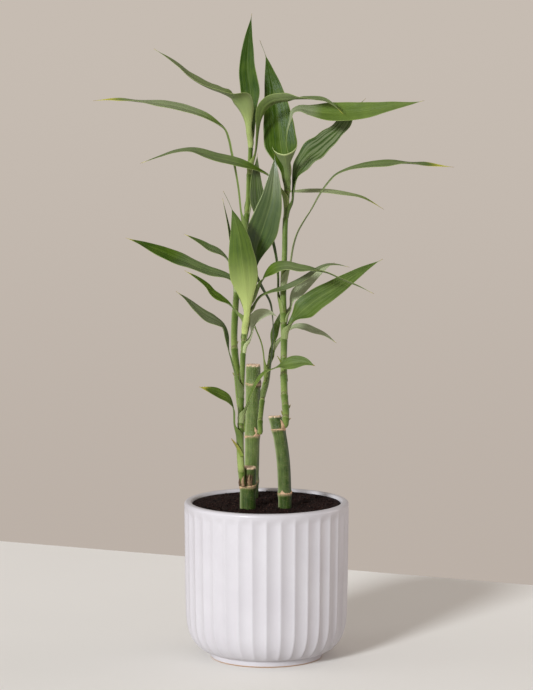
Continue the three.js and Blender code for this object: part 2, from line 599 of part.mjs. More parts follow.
function potSolid() {
  const fluteHeights = [115.6, 113.6, 110.6, 72, 31, 24, 18, 13, 9.4, 6.8];
  const rim = [[60.4, 120], [61.9, 119.3], [62.5, 117.4]];
  const foot = [[POT.footRadius + 0.4, POT.footHeight], [POT.footRadius, 0.8], [POT.footRadius - 0.8, 0]];
  const around = POT.flutes * POT.pointsPerFlute;
  const ringOf = (radiusAt, height) => Array.from({ length: around }, (_, j) => {
    const turn = (2 * Math.PI * j) / around;
    const across = (2 * (j % POT.pointsPerFlute)) / POT.pointsPerFlute - 1;
    const radius = radiusAt(across);
    return new THREE.Vector3(radius * Math.cos(turn), radius * Math.sin(turn), height);
  });
  const outer = [
    ...rim.map(([radius, height]) => ringOf(() => radius, height)),
    ...fluteHeights.map((height) => (
      ringOf((across) => potRadius(height) - fluteCut(height, across), height)
    )),
    ...foot.map(([radius, height]) => ringOf(() => radius, height)),
  ];
  const vertices = outer.flat();
  const triangles = [];
  for (let i = 0; i < outer.length - 1; i += 1) {
    for (let j = 0; j < around; j += 1) {
      const next = (j + 1) % around;
      const a = i * around + j;
      const b = i * around + next;
      triangles.push([a, a + around, b + around], [a, b + around, b]);
    }
  }
  const foot0 = (outer.length - 1) * around;
  const underside = vertices.push(new THREE.Vector3(0, 0, 0)) - 1;
  for (let j = 0; j < around; j += 1) {
    triangles.push([underside, foot0 + ((j + 1) % around), foot0 + j]);
  }
  // The inside has one side for each flute.
  const inner = [[57.8, 119.7], [POT.innerRadius, 118.4], [POT.innerRadius, POT.floor + 24],
    [POT.innerRadius - 9, POT.floor + 8], [POT.innerRadius - 22, POT.floor]];
  const innerStart = vertices.length;
  for (const [radius, height] of inner) {
    for (let k = 0; k < POT.flutes; k += 1) {
      const turn = (2 * Math.PI * k) / POT.flutes;
      vertices.push(new THREE.Vector3(radius * Math.cos(turn), radius * Math.sin(turn), height));
    }
  }
  for (let i = 0; i < inner.length - 1; i += 1) {
    for (let k = 0; k < POT.flutes; k += 1) {
      const next = (k + 1) % POT.flutes;
      const a = innerStart + i * POT.flutes + k;
      const b = innerStart + i * POT.flutes + next;
      triangles.push([a, b, b + POT.flutes], [a, b + POT.flutes, a + POT.flutes]);
    }
  }
  const floorRing = innerStart + (inner.length - 1) * POT.flutes;
  const floorMiddle = vertices.push(new THREE.Vector3(0, 0, POT.floor)) - 1;
  for (let k = 0; k < POT.flutes; k += 1) {
    triangles.push([floorMiddle, floorRing + k, floorRing + ((k + 1) % POT.flutes)]);
  }
  // The top of the rim joins each flute's outer points to its one inner side.
  for (let k = 0; k < POT.flutes; k += 1) {
    const here = innerStart + k;
    const next = innerStart + ((k + 1) % POT.flutes);
    const half = Math.floor(POT.pointsPerFlute / 2);
    for (let j = 0; j < POT.pointsPerFlute; j += 1) {
      const a = k * POT.pointsPerFlute + j;
      const b = (a + 1) % around;
      triangles.push([a, b, j <= half ? here : next]);
      if (j === half) {
        triangles.push([b, next, here]);
      }
    }
  }
  return geometryFrom(vertices, triangles);
}

function toManifold(geometry) {
  const bare = geometry.clone();
  bare.deleteAttribute("normal");
  bare.deleteAttribute("uv");
  const merged = BufferGeometryUtils.mergeVertices(bare, 1e-4);
  return new wasm.Manifold(new wasm.Mesh({
    numProp: 3,
    vertProperties: new Float32Array(merged.attributes.position.array),
    triVerts: new Uint32Array(merged.index.array),
  }));
}

function fromManifold(solid) {
  const mesh = solid.getMesh();
  const geometry = new THREE.BufferGeometry();
  geometry.setAttribute("position", new THREE.BufferAttribute(new Float32Array(mesh.vertProperties), 3));
  geometry.setIndex(new THREE.BufferAttribute(new Uint32Array(mesh.triVerts), 1));
  return geometry;
}

// Soil fills the pot. It has a slightly uneven top and a plain blind hole for each cane.
function soilSolid() {
  const side = POT.innerRadius - SOIL.gap;
  const profile = [
    [0, POT.floor + SOIL.gap],
    [side - 22, POT.floor + SOIL.gap],
    [side - 9, POT.floor + 8 + SOIL.gap],
    [side, POT.floor + 24 + SOIL.gap],
    [side, SOIL.top],
    [side * 0.72, SOIL.top],
    [side * 0.36, SOIL.top],
    [0, SOIL.top],
  ];
  const turned = new THREE.LatheGeometry(profile.map(([r, z]) => new THREE.Vector2(r, z)), SOIL.segments);
  turned.rotateX(Math.PI / 2);
  const place = turned.attributes.position;
  for (let i = 0; i < place.count; i += 1) {
    const [x, y, z] = [place.getX(i), place.getY(i), place.getZ(i)];
    const inside = Math.hypot(x, y) < side - 1;
    if (z > SOIL.top - 0.01 && inside) {
      const wave = Math.sin(x * 0.31 + 1.2) * Math.cos(y * 0.27 + 0.4);
      place.setZ(i, z + SOIL.unevenness * wave);
    }
  }
  const holes = Object.values(CANES).map((cane) => toManifold(caneSolid(cane, SEAT_GAP + 0.1)));
  return fromManifold(holes.reduce((soil, hole) => soil.subtract(hole), toManifold(turned)));
}

const plant = new THREE.Group();

function addPiece(name, geometry, finish) {
  const mesh = new THREE.Mesh(geometry, new THREE.MeshStandardMaterial(finish));
  mesh.name = name;
  plant.add(mesh);
}

addPiece("pot", potSolid(), FINISHES.pot);
addPiece("soil", soilSolid(), FINISHES.soil);
for (const [place, cane] of Object.entries(CANES)) {
  addPiece(`cane_${place}`, caneSolid(cane), FINISHES.cane);
}
for (const [place, shoot] of Object.entries(SHOOTS)) {
  addPiece(`shoot_${place}`, shootSolid(shoot), FINISHES.shoot);
  LEAVES[place].forEach((leaf, i) => {
    addPiece(`leaf_${place}_${i + 1}`, leafSolid(leaf, shoot), FINISHES.leaf);
  });
}

export default plant;
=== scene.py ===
"""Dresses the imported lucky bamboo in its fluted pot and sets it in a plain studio.

The tables hold millimetres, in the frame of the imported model. Meshes are built in metres.
"""

import logging
import math
import random
from dataclasses import dataclass, field
from enum import Enum
from typing import Callable, Optional, Sequence

import bpy
from mathutils import Euler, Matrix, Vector, noise

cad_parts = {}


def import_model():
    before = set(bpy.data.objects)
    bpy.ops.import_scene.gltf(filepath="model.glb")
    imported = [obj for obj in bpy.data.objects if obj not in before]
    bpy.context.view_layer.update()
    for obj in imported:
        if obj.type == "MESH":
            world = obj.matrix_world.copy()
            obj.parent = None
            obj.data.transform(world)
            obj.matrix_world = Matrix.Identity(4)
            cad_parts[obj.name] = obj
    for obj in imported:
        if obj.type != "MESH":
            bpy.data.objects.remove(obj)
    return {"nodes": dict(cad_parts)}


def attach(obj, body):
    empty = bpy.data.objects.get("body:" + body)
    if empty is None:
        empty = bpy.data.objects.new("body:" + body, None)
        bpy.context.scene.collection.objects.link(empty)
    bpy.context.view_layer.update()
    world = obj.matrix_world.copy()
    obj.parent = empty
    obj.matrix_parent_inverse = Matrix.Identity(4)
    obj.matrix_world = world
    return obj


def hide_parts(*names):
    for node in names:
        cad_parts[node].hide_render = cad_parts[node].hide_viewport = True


LOG = logging.getLogger("lucky_bamboo")

Point = tuple[float, float, float]
Pair = tuple[float, float]
Colour = tuple[float, float, float, float]
Socket = bpy.types.NodeSocket

MM = 0.001
UP = Vector((0, 0, 1))
FRONT_EYE = Vector((0, -2282, 508))


def smooth(share: float) -> float:
    """Eases a share between 0 and 1."""
    held = min(1.0, max(0.0, share))
    return held * held * (3 - 2 * held)


def ramp(value: float, low: float, high: float) -> float:
    """Tells how far a value has come from low to high, eased."""
    return smooth((value - low) / (high - low))


def bell(apart: float, width: float) -> float:
    """Falls from 1 towards 0 on both sides of a middle."""
    return math.exp(-((apart / width) ** 2))


def eased_value(pairs: Sequence[Pair], share: float) -> float:
    """Reads a list of (share, value) pairs, easing from each value to the next.

    Args:
        pairs: The pairs, in rising order of share.
        share: Where to read.

    Returns:
        The value there.
    """
    if share <= pairs[0][0]:
        return pairs[0][1]
    for (start, before), (end, value) in zip(pairs, pairs[1:]):
        if share <= end:
            return before + (value - before) * smooth((share - start) / (end - start))
    return pairs[-1][1]


def on_circle(turn: float, radius: float = 1.0, height: float = 0.0) -> Vector:
    """Finds a point on a level circle round the upright axis."""
    return Vector((radius * math.cos(turn), radius * math.sin(turn), height))


def turn_apart(first: float, second: float) -> float:
    """Finds the angle between two headings."""
    return abs((first - second + 180) % 360 - 180)


def mirrored(turn: float) -> float:
    """Turns an angle into a value that runs up one side and down the other, with no jump."""
    return abs((turn + math.pi) % (2 * math.pi) - math.pi) / math.pi


class SmoothLine:
    """A smooth line through points, read by shares of its length from 0 to 1."""

    PROBE = 0.004
    HALVINGS = 30

    def __init__(self, points: Sequence[Vector]) -> None:
        """Works out the knots and the slope at each point.

        Args:
            points: What the line runs through.
        """
        self.points = list(points)
        self.knots = [0.0]
        for here, after in zip(self.points, self.points[1:]):
            self.knots.append(self.knots[-1] + (after - here).length)
        spans = [end - start for start, end in zip(self.knots, self.knots[1:])]
        chords = [
            (after - here) / span
            for here, after, span in zip(self.points, self.points[1:], spans)
        ]
        self.slopes = [chords[0]]
        for i in range(1, len(chords)):
            weighted = chords[i - 1] * spans[i] + chords[i] * spans[i - 1]
            self.slopes.append(weighted / (spans[i - 1] + spans[i]))
        self.slopes.append(chords[-1])
        self.length = self.knots[-1]

    def at(self, share: float) -> Vector:
        """Finds the point at a share.

        Args:
            share: Share of the length.

        Returns:
            The point.
        """
        reach = min(1.0, max(0.0, share)) * self.length
        i = 1
        while i < len(self.points) - 1 and self.knots[i] < reach:
            i += 1
        span = self.knots[i] - self.knots[i - 1]
        t = (reach - self.knots[i - 1]) / span
        t2 = t * t
        t3 = t2 * t
        return (
            self.points[i - 1] * (2 * t3 - 3 * t2 + 1)
            + self.points[i] * (3 * t2 - 2 * t3)
            + self.slopes[i - 1] * ((t3 - 2 * t2 + t) * span)
            + self.slopes[i] * ((t3 - t2) * span)
        )

    def tangent(self, share: float) -> Vector:
        """Finds the direction of the line at a share."""
        return (self.at(share + self.PROBE) - self.at(share - self.PROBE)).normalized()

    def frame(self, share: float) -> tuple[Vector, Vector, Vector, Vector]:
        """Finds the point at a share and three directions square to each other.

        Args:
            share: Share of the length.

        Returns:
            The point, the way along, the way to the right and the way to the back.
        """
        along = self.tangent(share)
        side = (Vector((1, 0, 0)) - along * along.x).normalized()
        return self.at(share), along, side, along.cross(side)

    def share_at_height(self, height: float) -> float:
        """Finds the share at which a rising line reaches a height.

        Args:
            height: The height.

        Returns:
            The share.
        """
        low, high = 0.0, 1.0
        for _ in range(self.HALVINGS):
            middle = (low + high) / 2
            if self.at(middle).z < height:
                low = middle
            else:
                high = middle
        return (low + high) / 2


class MeshDraft:
    """Collects the vertices, faces and point values of one mesh, in millimetres."""

    def __init__(self, *values: str) -> None:
        """Starts an empty mesh.

        Args:
            values: Names of the numbers that each vertex carries for its material.
        """
        self.places: list[Vector] = []
        self.faces: list[tuple[int, ...]] = []
        self.values: dict[str, list[float]] = {name: [] for name in values}

    def add(self, place: Vector, **values: float) -> int:
        """Adds a vertex.

        Args:
            place: Where it is.
            values: Its numbers, 0 where one is left out.

        Returns:
            The index of the vertex.
        """
        self.places.append(place)
        for name, numbers in self.values.items():
            numbers.append(values.get(name, 0.0))
        return len(self.places) - 1

    def quads(self, rows: Sequence[Sequence[int]], closed: bool = False) -> None:
        """Joins rows of vertices with quads.

        Args:
            rows: Rows of equal length.
            closed: Whether the end of each row joins its start.
        """
        for low, high in zip(rows, rows[1:]):
            count = len(low) if closed else len(low) - 1
            for j in range(count):
                k = (j + 1) % len(low)
                self.faces.append((low[j], low[k], high[k], high[j]))

    def fan(self, centre: int, ring: Sequence[int], flipped: bool = False) -> None:
        """Closes a ring with triangles round a centre.

        Args:
            centre: Vertex in the middle.
            ring: Vertices round it.
            flipped: Whether the fan faces the other way.
        """
        for j, here in enumerate(ring):
            after = ring[(j + 1) % len(ring)]
            self.faces.append((centre, after, here) if flipped else (centre, here, after))

    def blade(self, upper: Sequence[Sequence[int]], lower: Sequence[Sequence[int]]) -> None:
        """Joins the two faces of a thin blade into one closed skin.

        Args:
            upper: Rows of the upper face.
            lower: Rows of the lower face.
        """
        self.quads([list(reversed(row)) for row in upper])
        self.quads(lower)
        self.quads([[high[0], low[0]] for low, high in zip(lower, upper)])
        self.quads([[low[-1], high[-1]] for low, high in zip(lower, upper)])
        self.quads([upper[0], lower[0]])
        self.quads([lower[-1], upper[-1]])

    def build(self, name: str, material: bpy.types.Material) -> bpy.types.Object:
        """Makes the mesh object.

        Args:
            name: Name of the object.
            material: Its one material.

        Returns:
            The object, linked to the scene and shaded smooth.
        """
        mesh = bpy.data.meshes.new(name)
        mesh.from_pydata([place * MM for place in self.places], [], self.faces)
        for value, numbers in self.values.items():
            layer = mesh.attributes.new(value, "FLOAT", "POINT")
            layer.data.foreach_set("value", numbers)
        mesh.polygons.foreach_set("use_smooth", [True] * len(mesh.polygons))
        mesh.materials.append(material)
        mesh.update()
        piece = bpy.data.objects.new(name, mesh)
        bpy.context.scene.collection.objects.link(piece)
        return piece


def settle(piece: bpy.types.Object, slot: str, *nodes: str) -> None:
    """Fixes a piece to the model's one body.

    Args:
        piece: The piece.
        slot: Not used.
        nodes: The nodes it stands for.
    """
    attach(piece, "root")
    if nodes:
        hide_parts(*nodes)
    LOG.info("%s: %d faces", piece.name, len(piece.data.polygons))


class Graph:
    """Adds and joins the nodes of one material or node group."""

    def __init__(self, tree: bpy.types.NodeTree) -> None:
        """Starts on a tree."""
        self.tree = tree

    def node(self, kind: str, **settings: object) -> bpy.types.Node:
        """Adds a node.

        Args:
            kind: The node's type name.
            settings: Properties to set on it.

        Returns:
            The node.
        """
        made = self.tree.nodes.new(kind)
        for name, value in settings.items():
            setattr(made, name, value)
        return made

    def join(self, source: object, target: Socket) -> None:
        """Links a socket to an input, or sets the input to a number or colour.

        Args:
            source: A socket or a value.
            target: The input.
        """
        if isinstance(source, bpy.types.NodeSocket):
            self.tree.links.new(source, target)
        else:
            target.default_value = source

    def value(self, name: str) -> Socket:
        """Reads a number that the mesh's vertices carry."""
        return self.node("ShaderNodeAttribute", attribute_name=name).outputs["Fac"]

    def place(self) -> Socket:
        """Reads the place on the object, in metres."""
        return self.node("ShaderNodeTexCoord").outputs["Object"]

    def height_of(self, place: Socket) -> Socket:
        """Reads the height of a place.

        Args:
            place: The place.

        Returns:
            Its height.
        """
        parts = self.node("ShaderNodeSeparateXYZ")
        self.join(place, parts.inputs[0])
        return parts.outputs["Z"]

    def math(self, operation: str, first: object, second: object = 0.0, held: bool = True) -> Socket:
        """Does a sum.

        Args:
            operation: Name of the operation.
            first: A socket or number.
            second: A socket or number.
            held: Whether the result is held between 0 and 1.

        Returns:
            The result.
        """
        made = self.node("ShaderNodeMath", operation=operation, use_clamp=held)
        self.join(first, made.inputs[0])
        self.join(second, made.inputs[1])
        return made.outputs[0]

    def total(self, first: object, *others: object) -> Socket:
        """Adds values one after another, held between 0 and 1 each time.

        Args:
            first: A socket or number.
            others: More of them.

        Returns:
            Their sum.
        """
        for other in others:
            first = self.math("ADD", first, other)
        return first

    def times(self, first: object, second: object) -> Socket:
        """Multiplies two values, held between 0 and 1."""
        return self.math("MULTIPLY", first, second)

    def ramp(
        self, value: object, low: float, high: float, start: object = 0.0, end: object = 1.0
    ) -> Socket:
        """Turns a range of a value into another range, eased.

        Args:
            value: The value.
            low: Lower end of its range.
            high: Upper end of its range.
            start: What low becomes.
            end: What high becomes.

        Returns:
            The new value.
        """
        made = self.node("ShaderNodeMapRange", interpolation_type="SMOOTHSTEP")
        for name, source in zip(
            ("Value", "From Min", "From Max", "To Min", "To Max"), (value, low, high, start, end)
        ):
            self.join(source, made.inputs[name])
        return made.outputs[0]

    def spread(self, mask: Socket, start: object, end: object) -> Socket:
        """Turns a mask into another range."""
        return self.ramp(mask, 0.0, 1.0, start, end)

    def mix(self, share: object, first: object, second: object) -> Socket:
        """Mixes two colours.

        Args:
            share: How much of the second colour.
            first: The first colour.
            second: The second colour.

        Returns:
            The mixed colour.
        """
        made = self.node("ShaderNodeMix", data_type="RGBA")
        self.join(share, made.inputs[0])
        self.join(first, made.inputs[6])
        self.join(second, made.inputs[7])
        return made.outputs[2]

    def mask(self, effect: bpy.types.NodeTree, **inputs: object) -> Socket:
        """Places a shared effect.

        Args:
            effect: The node group.
            inputs: Sockets or values for its inputs, by name.

        Returns:
            The effect's mask.
        """
        made = self.node("ShaderNodeGroup", node_tree=effect)
        for name, source in inputs.items():
            self.join(source, made.inputs[name])
        return made.outputs["Mask"]


class Effects:
    """The shared effects, each a node group with named inputs and one mask."""

    FIBRE_DETAIL = 3.0
    FIBRE_EDGES = (0.32, 0.68)
    MOTTLE_DETAIL = 4.0
    MOTTLE_EDGES = (0.3, 0.7)
    SPECK_EDGES = (0.25, 0.5)

    def __init__(self) -> None:
        """Builds every group once."""
        self.fibres = self._fibres()
        self.mottle = self._mottle()
        self.specks = self._specks()

    def _start(
        self, name: str, vectors: Sequence[str] = (), **numbers: float
    ) -> tuple[bpy.types.NodeTree, Graph, bpy.types.NodeOutputs, Socket]:
        """Makes a group with its sockets.

        Args:
            name: Name of the group.
            vectors: Names of the inputs that take a place.
            numbers: Name and starting value of each input that takes a number.

        Returns:
            The tree, its graph, what its inputs give and the socket that takes the mask.
        """
        tree = bpy.data.node_groups.new(name, "ShaderNodeTree")
        for label in vectors:
            tree.interface.new_socket(label, in_out="INPUT", socket_type="NodeSocketVector")
        for label, start in numbers.items():
            socket = tree.interface.new_socket(label, in_out="INPUT", socket_type="NodeSocketFloat")
            socket.default_value = start
        tree.interface.new_socket("Mask", in_out="OUTPUT", socket_type="NodeSocketFloat")
        graph = Graph(tree)
        given = graph.node("NodeGroupInput").outputs
        return tree, graph, given, graph.node("NodeGroupOutput").inputs["Mask"]

    def _noise(self, graph: Graph, vector: object, scale: object, detail: float) -> Socket:
        """Adds a noise texture.

        Args:
            graph: The graph to add to.
            vector: Where it is read.
            scale: Features per metre or unit.
            detail: Octaves of finer noise.

        Returns:
            The noise, between 0 and 1.
        """
        made = graph.node("ShaderNodeTexNoise")
        graph.join(vector, made.inputs["Vector"])
        graph.join(scale, made.inputs["Scale"])
        graph.join(detail, made.inputs["Detail"])
        return made.outputs["Fac"]

    def _fibres(self) -> bpy.types.NodeTree:
        """Long fine lines: veins of a blade or fibres of a stem."""
        tree, graph, given, mask = self._start(
            "fibres", Across=0.0, Along=0.0, Lines=30.0, Stretch=2.0, Seed=0.0
        )
        place = graph.node("ShaderNodeCombineXYZ")
        across = graph.math("MULTIPLY", given["Across"], given["Lines"], held=False)
        along = graph.math("MULTIPLY", given["Along"], given["Stretch"], held=False)
        for part, target in zip((across, along, given["Seed"]), place.inputs):
            graph.join(part, target)
        lines = self._noise(graph, place.outputs[0], 1.0, self.FIBRE_DETAIL)
        graph.join(graph.ramp(lines, *self.FIBRE_EDGES), mask)
        return tree

    def _mottle(self) -> bpy.types.NodeTree:
        """Soft uneven patches."""
        tree, graph, given, mask = self._start("mottle", ("Place",), Scale=100.0)
        patches = self._noise(graph, given["Place"], given["Scale"], self.MOTTLE_DETAIL)
        graph.join(graph.ramp(patches, *self.MOTTLE_EDGES), mask)
        return tree

    def _specks(self) -> bpy.types.NodeTree:
        """Small separate specks, more of them where Share is larger."""
        tree, graph, given, mask = self._start("specks", ("Place",), Scale=1000.0, Share=0.1)
        cells = graph.node("ShaderNodeTexVoronoi")
        graph.join(given["Place"], cells.inputs["Vector"])
        graph.join(given["Scale"], cells.inputs["Scale"])
        tint = graph.node("ShaderNodeSeparateColor")
        graph.join(cells.outputs["Color"], tint.inputs[0])
        chosen = graph.math("LESS_THAN", tint.outputs[0], given["Share"])
        dot = graph.ramp(cells.outputs["Distance"], *self.SPECK_EDGES, 1.0, 0.0)
        graph.join(graph.times(chosen, dot), mask)
        return tree


class Finish:
    """Common to all finishes: a material with one principled shader."""

    name = "finish"
    specular = 0.5

    def start(self) -> tuple[bpy.types.Material, Graph, bpy.types.Node]:
        """Makes the material.

        Returns:
            The material, its graph and its principled shader.
        """
        material = bpy.data.materials.new(self.name)
        material.use_nodes = True
        shader = material.node_tree.nodes["Principled BSDF"]
        shader.inputs["Specular IOR Level"].default_value = self.specular
        return material, Graph(material.node_tree), shader

    def relief(
        self, graph: Graph, shader: bpy.types.Node, height: Socket, depth: float, strength: float = 1.0
    ) -> None:
        """Gives the shader fine relief.

        Args:
            graph: The material's graph.
            shader: Its principled shader.
            height: Mask of the relief.
            depth: Its full depth in millimetres.
            strength: How much of it shows.
        """
        bump = graph.node("ShaderNodeBump")
        bump.inputs["Strength"].default_value = strength
        bump.inputs["Distance"].default_value = depth * MM
        graph.join(height, bump.inputs["Height"])
        graph.join(bump.outputs["Normal"], shader.inputs["Normal"])


@dataclass(frozen=True)
class PotGlaze(Finish):
    """White satin glaze with a faint lilac tint and a bare foot ring."""

    name: str = "pot_glaze"
    specular: float = 0.35
    roughness: Pair = (0.34, 0.42)
    coat: float = 0.1
    coat_roughness: float = 0.15
    white: Colour = (0.485, 0.464, 0.485, 1)
    tint: Colour = (0.456, 0.433, 0.456, 1)
    bare: Colour = (0.36, 0.20, 0.09, 1)
    bare_height: float = 1.1
    bare_fade: float = 0.6

    def make(self, effects: Effects) -> bpy.types.Material:
        """Makes the material.

        Args:
            effects: The shared effects.

        Returns:
            The material.
        """
        material, graph, shader = self.start()
        place = graph.place()
        patches = graph.mask(effects.mottle, Place=place, Scale=28.0)
        colour = graph.mix(patches, self.white, self.tint)
        bare_top = self.bare_height * MM
        foot = graph.ramp(graph.height_of(place), bare_top * self.bare_fade, bare_top, 1.0, 0.0)
        graph.join(graph.mix(foot, colour, self.bare), shader.inputs["Base Color"])
        waves = graph.mask(effects.mottle, Place=place, Scale=160.0)
        graph.join(graph.spread(waves, *self.roughness), shader.inputs["Roughness"])
        self.relief(graph, shader, waves, depth=0.04, strength=0.5)
        shader.inputs["Coat Weight"].default_value = self.coat
        shader.inputs["Coat Roughness"].default_value = self.coat_roughness
        return material


@dataclass(frozen=True)
class SoilFinish(Finish):
    """Dark moist soil with paler specks."""

    name: str = "soil"
    specular: float = 0.07
    roughness: Pair = (0.75, 1.0)
    dark: Colour = (0.0040, 0.0022, 0.0022, 1)
    brown: Colour = (0.024, 0.0105, 0.0085, 1)
    speck: Colour = (0.095, 0.050, 0.038, 1)

    def make(self, effects: Effects) -> bpy.types.Material:
        """Makes the material.

        Args:
            effects: The shared effects.

        Returns:
            The material.
        """
        material, graph, shader = self.start()
        place = graph.place()
        patches = graph.mask(effects.mottle, Place=place, Scale=420.0)
        colour = graph.mix(patches, self.dark, self.brown)
        specks = graph.mask(effects.specks, Place=place, Scale=900.0, Share=0.15)
        graph.join(graph.mix(specks, colour, self.speck), shader.inputs["Base Color"])
        grains = graph.mask(effects.mottle, Place=place, Scale=1100.0)
        graph.join(graph.spread(grains, *self.roughness), shader.inputs["Roughness"])
        self.relief(graph, shader, grains, depth=0.5)
        return material


@dataclass(frozen=True)
class CaneSkin(Finish):
    """Green cane skin with lengthwise fibres, pale ring scars and a pale cut top."""

    name: str = "cane_skin"
    specular: float = 0.22
    roughness: Pair = (0.36, 0.7)
    dark: Colour = (0.018, 0.040, 0.003, 1)
    light: Colour = (0.150, 0.200, 0.054, 1)
    # Painted highlight colour for the left edge
    painted_highlight: Colour = (0.42, 0.48, 0.26, 1)
    scar: Colour = (0.52, 0.34, 0.22, 1)
    bark: Colour = (0.055, 0.030, 0.014, 1)
    cut: Colour = (0.70, 0.52, 0.37, 1)
    fleck_share: float = 0.18
    grain_share: float = 0.7

    def make(self, effects: Effects) -> bpy.types.Material:
        """Makes the material, with shade painted on the right of the cane and light painted on its left.

        Args:
            effects: The shared effects.

        Returns:
            The material.
        """
        material, graph, shader = self.start()
        place, turn, scarred = graph.place(), graph.value("turn"), graph.value("ring")
        fibres = graph.mask(
            effects.fibres, Across=turn, Along=graph.value("along"), Lines=34.0, Stretch=3.0
        )
        patches = graph.mask(effects.mottle, Place=place, Scale=120.0)
        shade = graph.total(
            graph.value("tone"),
            graph.spread(fibres, -0.14, 0.16),
            graph.spread(patches, -0.12, 0.12),
            # Painted shade on the right side and painted light on the left side
            graph.ramp(turn, 0.05, 0.6, -0.3, 0.0),
            graph.ramp(turn, 0.6, 0.95, 0.0, 0.4),
        )
        green = graph.mix(shade, self.dark, self.light)
        # Painted highlight down the left edge
        green = graph.mix(graph.ramp(turn, 0.72, 0.97, 0.0, 0.5), green, self.painted_highlight)
        flecks = graph.mask(effects.specks, Place=place, Scale=1500.0, Share=0.22)
        green = graph.mix(graph.times(flecks, self.fleck_share), green, self.scar)
        husk = graph.times(graph.value("husk"), graph.ramp(patches, 0.2, 0.8, 0.4, 1.0))
        skin = graph.mix(husk, green, self.bark)
        ring = graph.times(scarred, graph.spread(fibres, 0.55, 1.0))
        skin = graph.mix(ring, skin, self.scar)
        grain = graph.mask(effects.mottle, Place=place, Scale=900.0)
        wood = graph.mix(graph.times(grain, self.grain_share), self.cut, self.scar)
        graph.join(graph.mix(graph.value("cut"), skin, wood), shader.inputs["Base Color"])
        graph.join(graph.spread(scarred, *self.roughness), shader.inputs["Roughness"])
        self.relief(graph, shader, graph.times(fibres, grain), depth=0.25, strength=0.8)
        return material


@dataclass(frozen=True)
class ShootSkin(Finish):
    """Green shoot, palest above each ring, with thin rings and mottled skin."""

    name: str = "shoot_skin"
    specular: float = 0.2
    roughness: Pair = (0.36, 0.5)
    pale: Colour = (0.21, 0.26, 0.065, 1)
    green: Colour = (0.055, 0.098, 0.009, 1)
    # Painted highlight colour for the left edge
    painted_highlight: Colour = (0.36, 0.42, 0.22, 1)
    ring: Colour = (0.30, 0.30, 0.11, 1)
    seam: Colour = (0.075, 0.062, 0.020, 1)
    patch_share: float = 0.3
    fibre_share: float = 0.35
    fleck_share: float = 0.5

    def make(self, effects: Effects) -> bpy.types.Material:
        """Makes the material, with shade painted on the right of the shoot and light painted on its left.

        Args:
            effects: The shared effects.

        Returns:
            The material.
        """
        material, graph, shader = self.start()
        place, turn = graph.place(), graph.value("turn")
        fibres = graph.mask(
            effects.fibres, Across=turn, Along=graph.value("along"), Lines=26.0, Stretch=4.0
        )
        patches = graph.mask(effects.mottle, Place=place, Scale=90.0)
        share = graph.total(
            graph.value("climb"),
            graph.times(patches, self.patch_share),
            # Painted shade on the right side and painted light on the left side
            graph.ramp(turn, 0.1, 0.9, 0.35, -0.35),
        )
        colour = graph.mix(share, self.pale, self.green)
        # Painted highlight down the left edge
        colour = graph.mix(graph.ramp(turn, 0.65, 0.95, 0.0, 0.5), colour, self.painted_highlight)
        colour = graph.mix(graph.times(fibres, self.fibre_share), colour, self.green)
        flecks = graph.mask(effects.specks, Place=place, Scale=1100.0, Share=0.3)
        colour = graph.mix(graph.times(flecks, self.fleck_share), colour, self.seam)
        colour = graph.mix(graph.value("ring"), colour, self.ring)
        colour = graph.mix(graph.value("seam"), colour, self.seam)
        graph.join(colour, shader.inputs["Base Color"])
        graph.join(graph.spread(patches, *self.roughness), shader.inputs["Roughness"])
        self.relief(graph, shader, fibres, depth=0.08, strength=0.7)
        return material


